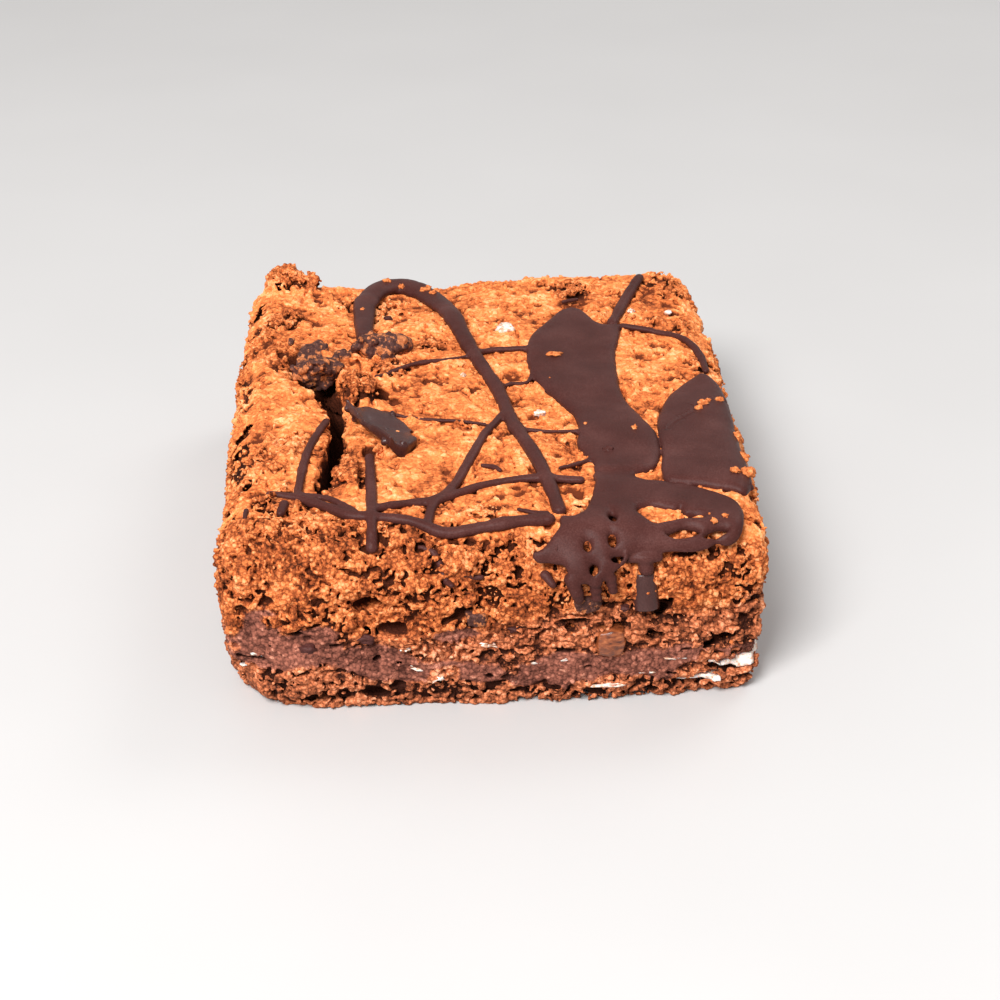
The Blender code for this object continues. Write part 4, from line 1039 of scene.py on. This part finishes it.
# %% Lay the strings
def lay(chocolate, spine, seed):
    """Melt one string of squashed balls into the chocolate. Its points are x, y, z and half width."""
    string = np.full(choc_grid.shape, 3.0, np.float32)
    for index, (x, y, z, half) in enumerate(spine):
        half = half * (1.0 + 0.12 * wave(0.3 * index, seed, 2.6, 4.0)
                       + 0.08 * wave(0.3 * index, seed, 0.9, 5.0))
        flat = 0.85 - 0.33 * smooth_step(half, 1.2, 2.0)
        centre = np.array([x, y, z])
        middle, reach = centre - choc_grid.low, half * 1.6 + 0.6
        a = np.maximum(((middle - reach) / choc_grid.voxel).astype(int), 0)
        b = np.minimum(((middle + reach) / choc_grid.voxel).astype(int) + 2, choc_grid.shape)
        block = (slice(a[0], b[0]), slice(a[1], b[1]), slice(a[2], b[2]))
        level = np.hypot(choc_grid.x[block[0]] - x, choc_grid.y[:, block[1]] - y)
        ball = np.sqrt(level**2 + ((choc_grid.z[:, :, block[2]] - z) / flat) ** 2) - half
        string[block] = np.minimum(string[block], ball)
    return melt(chocolate, string, 0.6)


for seed, route in enumerate([*STRANDS.values(), *THREADS.values()]):
    spine = smooth_route(route, 0.3)
    half = spine[:, 2]
    heights = map_at(crust_map, body_grid, spine[:, 0], spine[:, 1]) + 0.28 * half + 0.22 * (half < 0.6)
    chocolate = lay(chocolate, np.column_stack([spine[:, :2], heights, half]), 3.0 * seed)
for seed, route in enumerate(DRIPS):
    chocolate = lay(chocolate, smooth_route(route, 0.3), 60.0 + seed)
chocolate += 0.06 * grid_noise(choc_grid, 1.6, 72) + 0.04 * grid_noise(choc_grid, 0.7, 73)
# A crack runs through the right pool, from its outer edge towards the back pool
RIGHT_CRACK = [
    (38.0, -6.0, 0.1), (35.5, -7.5, 0.12), (33.5, -9.0, 0.12), (31.5, -12.0, 0.14), (28.5, -15.0, 0.14),
    (27.0, -17.5, 0.12),
]
scored = np.full(choc_grid.shape[:2], 9.0, np.float32)
for x, y, half in smooth_route(RIGHT_CRACK, 0.3):
    scored = np.minimum(scored, np.hypot(choc_grid.x[:, :, 0] - x, choc_grid.y[:, :, 0] - y) - half)
chocolate = chocolate + 0.28 * smooth_step(-scored, -0.5, 0.0)[:, :, None]

# %% [markdown]
# ## Set chocolate
# The pools, strands and threads become one closed mesh. Their finish is a dark red-brown with a
# dull shine and a bloom in soft clouds, as chocolate has that set in a cool room.

# %% Mesh the chocolate
points, triangles = skin(chocolate, choc_grid, 0.05)
drizzle = mesh_object("chocolate_drizzle", points, triangles)
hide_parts("chocolate_pool_back", "chocolate_pool_right", "chocolate_pool_front")
print("chocolate", len(triangles), "triangles")

CHOCOLATE_COLOURS = {0.3: (0.036, 0.010, 0.008), 0.5: (0.060, 0.018, 0.015), 0.75: (0.11, 0.042, 0.036)}


def chocolate_finish(name, light=1.0, rough=0.42, shine=0.10):
    f = Finish(name)
    dust = f.noise(0.22, 3.0, 0.7)
    bloom = f.noise(7.0, 3.0)
    shade = dust * 0.55 + bloom * 0.45
    colour = f.ramp(shade, [(at, tuple(light * v for v in rgb)) for at, rgb in CHOCOLATE_COLOURS.items()])
    return f.surface(colour, rough - 0.08 + dust * 0.16, f.bump(dust, 0.05), {"Specular IOR Level": shine})


set_chocolate = chocolate_finish("set chocolate")
drizzle.data.materials.append(set_chocolate)

# %% [markdown]
# ## Pieces set in the crumb
# The chunks, the shard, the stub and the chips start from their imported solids, which give their
# place and form. A finer grid round each one takes the small breaks and crumbs that the real ones have.

# %% Carve a piece from its solid
HEADROOM = 0.4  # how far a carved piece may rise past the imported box


def carved(name, node, voxel, waves, grow, crumbs):
    """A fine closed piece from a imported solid, with noises of (size, depth) in millimetres added."""
    low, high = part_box(node)
    grid = Grid([v / MM - 1.5 for v in low], [v / MM + 1.5 for v in high], voxel)
    field = solid_field(node, grid) - grow
    for index, (size, depth) in enumerate(waves):
        field += depth * grid_noise(grid, size, 100 + index + len(name))
    grain = np.zeros(grid.shape, np.float32)
    if crumbs:
        draw = np.random.default_rng(len(name))
        bends = [0.1 * grid_noise(grid, 0.6, 140 + axis) for axis in range(3)]
        places, out = surface_seeds(field, grid, np.full(grid.shape, crumbs), draw)
        radii = draw.uniform(0.22, 0.75, (len(places), 1)) * draw.uniform(0.7, 1.2, (len(places), 3))
        pale = (draw.uniform(size=len(places)) > 0.6) * 1.0
        add_lumps(field, grain, grid, places - 0.1 * out, radii, pale, bends, 0.08)
    field = np.maximum(field, grid.z - (BOX_HIGH[2] + HEADROOM))
    points, triangles = skin(field, grid, 0.05)
    piece = mesh_object(name, points, triangles, {"dusted": sample(grain, grid, points)})
    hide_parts(node)
    print(name, len(triangles), "triangles")
    return piece


CHUNK_WAVES = [(3.2, 1.1), (1.5, 0.8), (0.7, 0.3)]
CHIP_WAVES = [(1.5, 0.25), (0.6, 0.1)]
HIGH_SEAM_WAVES = [(3.0, 0.45), (1.0, 0.22)]
LOW_SEAM_WAVES = [(3.0, 0.3), (1.0, 0.18)]
CARVED = {  # node, slot, voxel, waves, how much it grows and how many crumbs stick to each square mm
    "chunk_left": ("chocolate_chunk_left", "chunk", 0.2, CHUNK_WAVES, 0.3, 0.3),
    "chunk_right": ("chocolate_chunk_right", "chunk", 0.2, CHUNK_WAVES, 0.3, 0.3),
    "shard": ("chocolate_shard", "chocolate", 0.18, [(3.4, 0.45), (1.4, 0.22), (0.6, 0.05)], 0.1, 0.05),
    "stub": ("chocolate_stub", "chocolate", 0.18, [(3.0, 0.12), (0.9, 0.06)], 0.1, 0.0),
    "chip_left": ("chocolate_chip_left", "chunk", 0.2, CHIP_WAVES, 0.25, 0.0),
    "chip_right": ("chocolate_chip_right", "chunk", 0.2, CHIP_WAVES, 0.25, 0.0),
    "toffee": ("toffee_chip", "toffee", 0.2, [(1.5, 0.2), (0.6, 0.08)], 0.3, 0.0),
    "marshmallow_high": ("marshmallow_ribbon_high", "marshmallow", 0.25, HIGH_SEAM_WAVES, -0.2, 0.0),
    "marshmallow_low": ("marshmallow_ribbon_low", "marshmallow", 0.25, LOW_SEAM_WAVES, -0.1, 0.0),
}
carvings = {}
for name, (node, slot, voxel, waves, grow, crumbs) in CARVED.items():
    carvings[name] = (carved(name, node, voxel, waves, grow, crumbs), slot)

# %% [markdown]
# ## Finishes of the set pieces
# Broken chocolate is dark with a dusting of crumb in patches and on some of the crumbs stuck to it.
# The marshmallow is white and a little see-through, and stained brown in patches. The toffee is
# streaked along the cut.

# %% Finishes of chunks, marshmallow and toffee
def chunk_finish():
    f = Finish("crumbly chocolate")
    grain = f.noise(0.5, 3.0, 0.65)
    dusting = f.step(f.noise(1.1, 3.0, 0.7) + f.attribute("dusted") * 0.2, 0.52, 0.62)
    stops = [(0.3, (0.028, 0.009, 0.007)), (0.55, (0.075, 0.027, 0.021)), (0.8, (0.20, 0.085, 0.06))]
    dark = f.ramp(grain, stops)
    light = f.ramp(grain, [(0.3, (0.20, 0.05, 0.015)), (0.7, (0.64, 0.22, 0.08))])
    return f.surface(f.mix(dusting, dark, light), 0.7, f.bump(grain, 0.15), {"Specular IOR Level": 0.18})


def marshmallow_finish(name, clean=0.46):
    f = Finish(name)
    shade = f.noise(0.9, 3.0, 0.6)
    stained, cream = (clean - 0.12, (0.55, 0.28, 0.17)), (clean, (0.80, 0.66, 0.57))
    white, bright = (clean + 0.16, (0.88, 0.82, 0.77)), (0.85, (0.93, 0.89, 0.86))
    colour = f.ramp(shade, [stained, cream, white, bright])
    return f.surface(colour, 0.6, f.bump(shade, 0.1), {"Subsurface Weight": 0.15, "Subsurface Scale": 0.002})


def toffee_finish():
    f = Finish("baked toffee")
    shade = f.noise(0.9, 3.0, 0.65, (0.6, 1.0, 1.8))
    stops = [(0.3, (0.055, 0.013, 0.006)), (0.5, (0.21, 0.052, 0.016)), (0.8, (0.48, 0.15, 0.05))]
    colour = f.ramp(shade, stops)
    return f.surface(colour, 0.35, f.bump(shade, 0.1))


finishes = {
    "chunk": chunk_finish(),
    "marshmallow": marshmallow_finish("marshmallow"),
    "toffee": toffee_finish(),
    "chocolate": chocolate_finish("broken chocolate", 0.75, 0.3, 0.35),
}
for piece, slot in carvings.values():
    piece.data.materials.append(finishes[slot])

# %% [markdown]
# ## Bits and loose crumbs
# White scraps of marshmallow and dark bits of chocolate show here and there. Each is a small ragged
# pebble, pushed into the surface where it lies, with its own place, size and turn.

# %% Where the surface is
def front_at(x, z):
    """The first crumb met at a height, coming from the front."""
    i = int(round((x - body_grid.low[0]) / VOXEL))
    k = int(round((z - body_grid.low[2]) / VOXEL))
    return body_grid.low[1] + VOXEL * int(np.argmax(crumb[i, :, k] < 0.0))


def top_at(x, y):
    """The first crumb met from above."""
    i = int(round((x - body_grid.low[0]) / VOXEL))
    j = int(round((y - body_grid.low[1]) / VOXEL))
    from_above = int(np.argmax(crumb[i, j, ::-1] < 0.0))
    return body_grid.low[2] + VOXEL * (body_grid.shape[2] - 1 - from_above)


def pebble(bm, centre, radii, ragged, seed, turn=0.0):
    """Add a ragged closed pebble to a bmesh, in millimetres."""
    made = bmesh.ops.create_icosphere(bm, subdivisions=3, radius=1.0)["verts"]
    for vertex in made:
        place = Vector(vertex.co)
        swell = 1.0 + ragged * noise.noise(place * 1.6 + Vector((seed, 0.0, 0.0)))
        swell = swell + 0.6 * ragged * noise.noise(place * 3.7 + Vector((0.0, seed, 0.0)))
        x, y, z = [swell * value * radius for value, radius in zip(place, radii)]
        across, up = x * math.cos(turn) - z * math.sin(turn), x * math.sin(turn) + z * math.cos(turn)
        vertex.co = ((centre[0] + across) * MM, (centre[1] + y) * MM, (centre[2] + up) * MM)


def pebbles(name, rows, material):
    """One mesh of many pebbles, with a row of place, half sizes, raggedness and seed for each."""
    bm = bmesh.new()
    for row in rows:
        pebble(bm, *row)
    data = bpy.data.meshes.new(name)
    bm.to_mesh(data)
    bm.free()
    data.shade_smooth()
    data.materials.append(material)
    return place_object(name, data)


# %% Scraps and bits
FRONT_SCRAPS = [  # x, z, half length, half height, turn
    (15.5, 2.9, 2.6, 0.30, 0.05), (-2.6, 10.5, 1.5, 0.30, -0.2), (-11.6, 6.7, 1.9, 0.45, -0.25),
    (4.5, 7.2, 1.2, 0.22, 0.0), (8.5, 7.6, 0.8, 0.2, 0.1), (-34.7, 9.4, 1.2, 0.5, -0.4),
    (-9.4, 5.6, 0.8, 0.4, 0.3), (20.5, 4.6, 1.1, 0.22, 0.1), (24.0, 7.0, 1.6, 0.2, -0.05),
    (-13.8, 10.6, 0.7, 0.25, 0.2), (-36.6, 6.4, 0.6, 0.4, 0.3), (1.4, 4.0, 0.5, 0.2, 0.0),
    (29.8, 5.9, 1.2, 0.25, -0.5),
]
TOP_SCRAPS = [
    (5.4, 23.1, 1.5, 1.9, 0.8), (8.4, -8.3, 0.9, 0.7, 0.5), (27.4, 28.8, 0.6, 0.6, 0.4),
    (33.7, 28.4, 0.7, 0.5, 0.4), (-2.6, 6.0, 0.45, 0.5, 0.4),
]
rows = []
for index, (x, z, half, tall, turn) in enumerate(FRONT_SCRAPS):
    rows.append(((x, front_at(x, z) + 0.38, z), (half, 0.6, 0.85 * tall), 0.9, 3.1 * index, turn))
for index, (x, y, a, b, c) in enumerate(TOP_SCRAPS):
    rows.append(((x, y, top_at(x, y) + 0.1), (a, b, c), 0.5, 50.0 + index))
scraps = pebbles("marshmallow_scraps", rows, marshmallow_finish("toasted scraps", 0.53))
TOP_BITS = [  # x, y, half sizes and how high it lies
    (-21.1, 27.5, 1.4, 0.4, 0.4, 0.05), (-14.0, 28.6, 0.8, 0.5, 0.5, 0.05), (17.3, -23.0, 1.0, 0.8, 0.7, 0.9),
    (35.8, -34.0, 0.9, 1.2, 0.8, 0.9),
]
FRONT_BITS = [  # x, z and half sizes along them
    (14.2, 16.8, 0.9, 0.7), (16.8, 16.0, 0.7, 0.4), (-27.5, 11.0, 1.2, 0.8), (-19.4, 12.4, 1.5, 0.7),
    (1.5, 12.6, 1.3, 0.6),
]
rows = []
for index, (x, y, a, b, c, lift) in enumerate(TOP_BITS):
    rows.append(((x, y, top_at(x, y) + lift), (a, b, c), 0.5, 80.0 + index))
for index, (x, z, half, tall) in enumerate(FRONT_BITS):
    rows.append(((x, front_at(x, z) + 0.1, z), (half, 0.7, tall), 0.5, 90.0 + index))
bits = pebbles("chocolate_bits", rows, set_chocolate)

# %% [markdown]
# ## Crumbs that fell on top
# A Geometry Nodes tree spreads points over the upward faces of a piece and puts a small ragged
# crumb on each. The larger crumbs on the chocolate have places of their own, because they catch the
# eye.

# %% Crumbs strewn by Geometry Nodes
FULL_TURN = 6.28


def strewing_tree(name, finish_material):
    """Points over the upward faces of a mesh, each with a crumb of its own turn and size."""
    tree = bpy.data.node_groups.new(name, "GeometryNodeTree")
    tree.interface.new_socket("Mesh", in_out="INPUT", socket_type="NodeSocketGeometry")
    tree.interface.new_socket("Crumb", in_out="INPUT", socket_type="NodeSocketObject")
    tree.interface.new_socket("Per square metre", in_out="INPUT", socket_type="NodeSocketFloat")
    tree.interface.new_socket("Seed", in_out="INPUT", socket_type="NodeSocketInt")
    tree.interface.new_socket("Crumbs", in_out="OUTPUT", socket_type="NodeSocketGeometry")

    def add(kind, sockets=None, settings=None):
        made = tree.nodes.new(kind)
        for key, value in (settings or {}).items():
            setattr(made, key, value)
        for key, value in (sockets or {}).items():
            if isinstance(value, bpy.types.NodeSocket):
                tree.links.new(value, made.inputs[key])
            else:
                made.inputs[key].default_value = value
        return made.outputs

    given = add("NodeGroupInput")
    up = add("ShaderNodeSeparateXYZ", {"Vector": add("GeometryNodeInputNormal")["Normal"]})["Z"]
    upward = add("FunctionNodeCompare", {0: up, 1: 0.75}, {"operation": "GREATER_THAN"})["Result"]
    sockets = {"Mesh": given["Mesh"], "Selection": upward, "Seed": given["Seed"]}
    sockets["Density"] = given["Per square metre"]
    spread_out = add("GeometryNodeDistributePointsOnFaces", sockets)
    turns = {0: (0.0, 0.0, 0.0), 1: (FULL_TURN, FULL_TURN, FULL_TURN)}
    turn = add("FunctionNodeRandomValue", turns, {"data_type": "FLOAT_VECTOR"})["Value"]
    size = add("FunctionNodeRandomValue", {2: 0.3, 3: 1.0})["Value"]
    shape = add("GeometryNodeObjectInfo", {"Object": given["Crumb"]})["Geometry"]
    sockets = {"Points": spread_out["Points"], "Instance": shape, "Rotation": turn, "Scale": size}
    placed = add("GeometryNodeInstanceOnPoints", sockets)
    real = add("GeometryNodeRealizeInstances", {"Geometry": placed["Instances"]})["Geometry"]
    done = add("GeometryNodeSetMaterial", {"Geometry": real, "Material": finish_material})["Geometry"]
    tree.links.new(done, tree.nodes.new("NodeGroupOutput").inputs["Crumbs"])
    return tree


def strewn(name, onto, shape, per_square_mm, seed, finish_material):
    """A mesh of crumbs on a piece, with its modifier already worked out and gone."""
    holder = place_object(name, onto.data)
    modifier = holder.modifiers.new("strewing", "NODES")
    modifier.node_group = strewing_tree(name + "_tree", finish_material)
    inputs = {"Crumb": shape, "Per square metre": per_square_mm * 1e6, "Seed": seed}
    for item in modifier.node_group.interface.items_tree:
        if item.in_out == "INPUT" and item.name in inputs:
            modifier[item.identifier] = inputs[item.name]
    bpy.context.view_layer.update()
    made = bpy.data.meshes.new_from_object(holder.evaluated_get(bpy.context.evaluated_depsgraph_get()))
    made.name = name
    holder.modifiers.clear()
    holder.data = made
    made.shade_smooth()
    return holder


def loose_crumb_finish():
    f = Finish("loose crumb")
    shade = f.noise(0.5, 3.0, 0.6)
    stops = [(0.3, (0.28, 0.06, 0.016)), (0.55, (0.66, 0.19, 0.055)), (0.8, (0.94, 0.45, 0.2))]
    colour = f.ramp(shade, stops)
    return f.surface(colour, 0.8, f.bump(shade, 0.1), {"Specular IOR Level": 0.12})


CRUMB_RADIUS = 0.42
bm = bmesh.new()
made = bmesh.ops.create_icosphere(bm, subdivisions=2, radius=CRUMB_RADIUS * MM)["verts"]
for vertex in made:
    vertex.co *= 1.0 + 0.5 * noise.noise(vertex.co / MM * 3.0)
crumb_shape_data = bpy.data.meshes.new("crumb shape")
bm.to_mesh(crumb_shape_data)
bm.free()
crumb_shape = bpy.data.objects.new("crumb shape", crumb_shape_data)
loose = loose_crumb_finish()
from_above = np.argmax(chocolate[:, :, ::-1] < 0.0, axis=2)
choc_top = choc_grid.low[2] + choc_grid.voxel * (choc_grid.shape[2] - 1 - from_above)
choc_top = np.where(np.any(chocolate < 0.0, axis=2), choc_top, 0.0)[:, :, None]
SEEN_CRUMBS = [  # x, y and half sizes
    (12.5, 10.4, 1.05, 0.8, 0.35), (22.0, -16.8, 0.5, 0.6, 0.45), (33.7, -9.2, 0.9, 0.6, 0.5),
    (32.8, -10.8, 0.6, 0.5, 0.5), (34.6, -8.0, 0.5, 0.4, 0.4), (36.4, -7.6, 0.7, 0.4, 0.4),
    (37.4, -18.0, 0.7, 0.8, 0.6), (37.2, -25.0, 0.8, 1.2, 0.7), (36.6, -32.0, 1.0, 0.9, 0.9),
    (34.6, -32.3, 0.7, 0.6, 0.5), (-13.8, 44.4, 0.7, 0.5, 0.4), (-11.2, 43.4, 0.6, 0.5, 0.4),
    (-7.2, 40.6, 0.9, 0.7, 0.4), (-5.9, 38.6, 0.6, 0.6, 0.4), (-6.6, 42.0, 0.5, 0.4, 0.4),
    (-18.2, 31.0, 0.4, 0.4, 0.3), (29.5, -45.0, 0.5, 0.4, 0.4), (31.2, -44.0, 0.4, 0.4, 0.3),
    (14.8, -14.6, 0.25, 0.25, 0.2), (-16.8, -18.6, 0.7, 0.5, 0.6), (-15.6, -20.6, 0.8, 0.6, 0.6),
    (-14.3, -22.0, 0.9, 0.6, 0.7), (-13.0, -21.2, 0.6, 0.5, 0.5), (-15.3, -18.7, 0.5, 0.5, 0.5),
]
rows = []
for index, (x, y, a, b, c) in enumerate(SEEN_CRUMBS):
    level = max(float(map_at(choc_top, choc_grid, x, y)), top_at(x, y))
    rows.append(((x, y, level + 0.3 * c), (a, b, c), 0.6, 120.0 + index))
seen = pebbles("seen_crumbs", rows, loose)
PER_SQUARE_MM = {"chocolate": 0.003, "crumb": 0.06}
on_chocolate = strewn("crumbs_on_chocolate", drizzle, crumb_shape, PER_SQUARE_MM["chocolate"], 4, loose)
loose_crumbs = [seen, on_chocolate]
for name, piece in crumb_pieces.items():
    if name.startswith("crumb"):
        loose_crumbs.append(strewn("crumbs_on_" + name, piece, crumb_shape, PER_SQUARE_MM["crumb"], 7, loose))
bpy.data.objects.remove(crumb_shape)
for piece in loose_crumbs:
    print(piece.name, len(piece.data.polygons), "faces")
del body, crumb, tone, chocolate, fine, middle, wander_large, wander_small, CRUMB_SORTS
del crust_zone, fudge_zone, base_zone, flake_zone, coarse_zone, foot_zone

# %% [markdown]
# ## One body
# Nothing moves against anything else in a cut of cake, so every piece rides on the one body.

# %% Everything moves with the one body
carved_pieces = [piece for piece, slot in carvings.values()]
for piece in [drizzle, scraps, bits, *loose_crumbs, *crumb_pieces.values(), *carved_pieces]:
    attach(piece, "root")

# %% Sizes of the whole, worked out and printed
sizes = {"cad": CAD_BOX, "visual": [[float(v) for v in corner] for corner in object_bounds()]}
print("visual box in mm", [[round(v / MM, 2) for v in corner] for corner in sizes["visual"]])
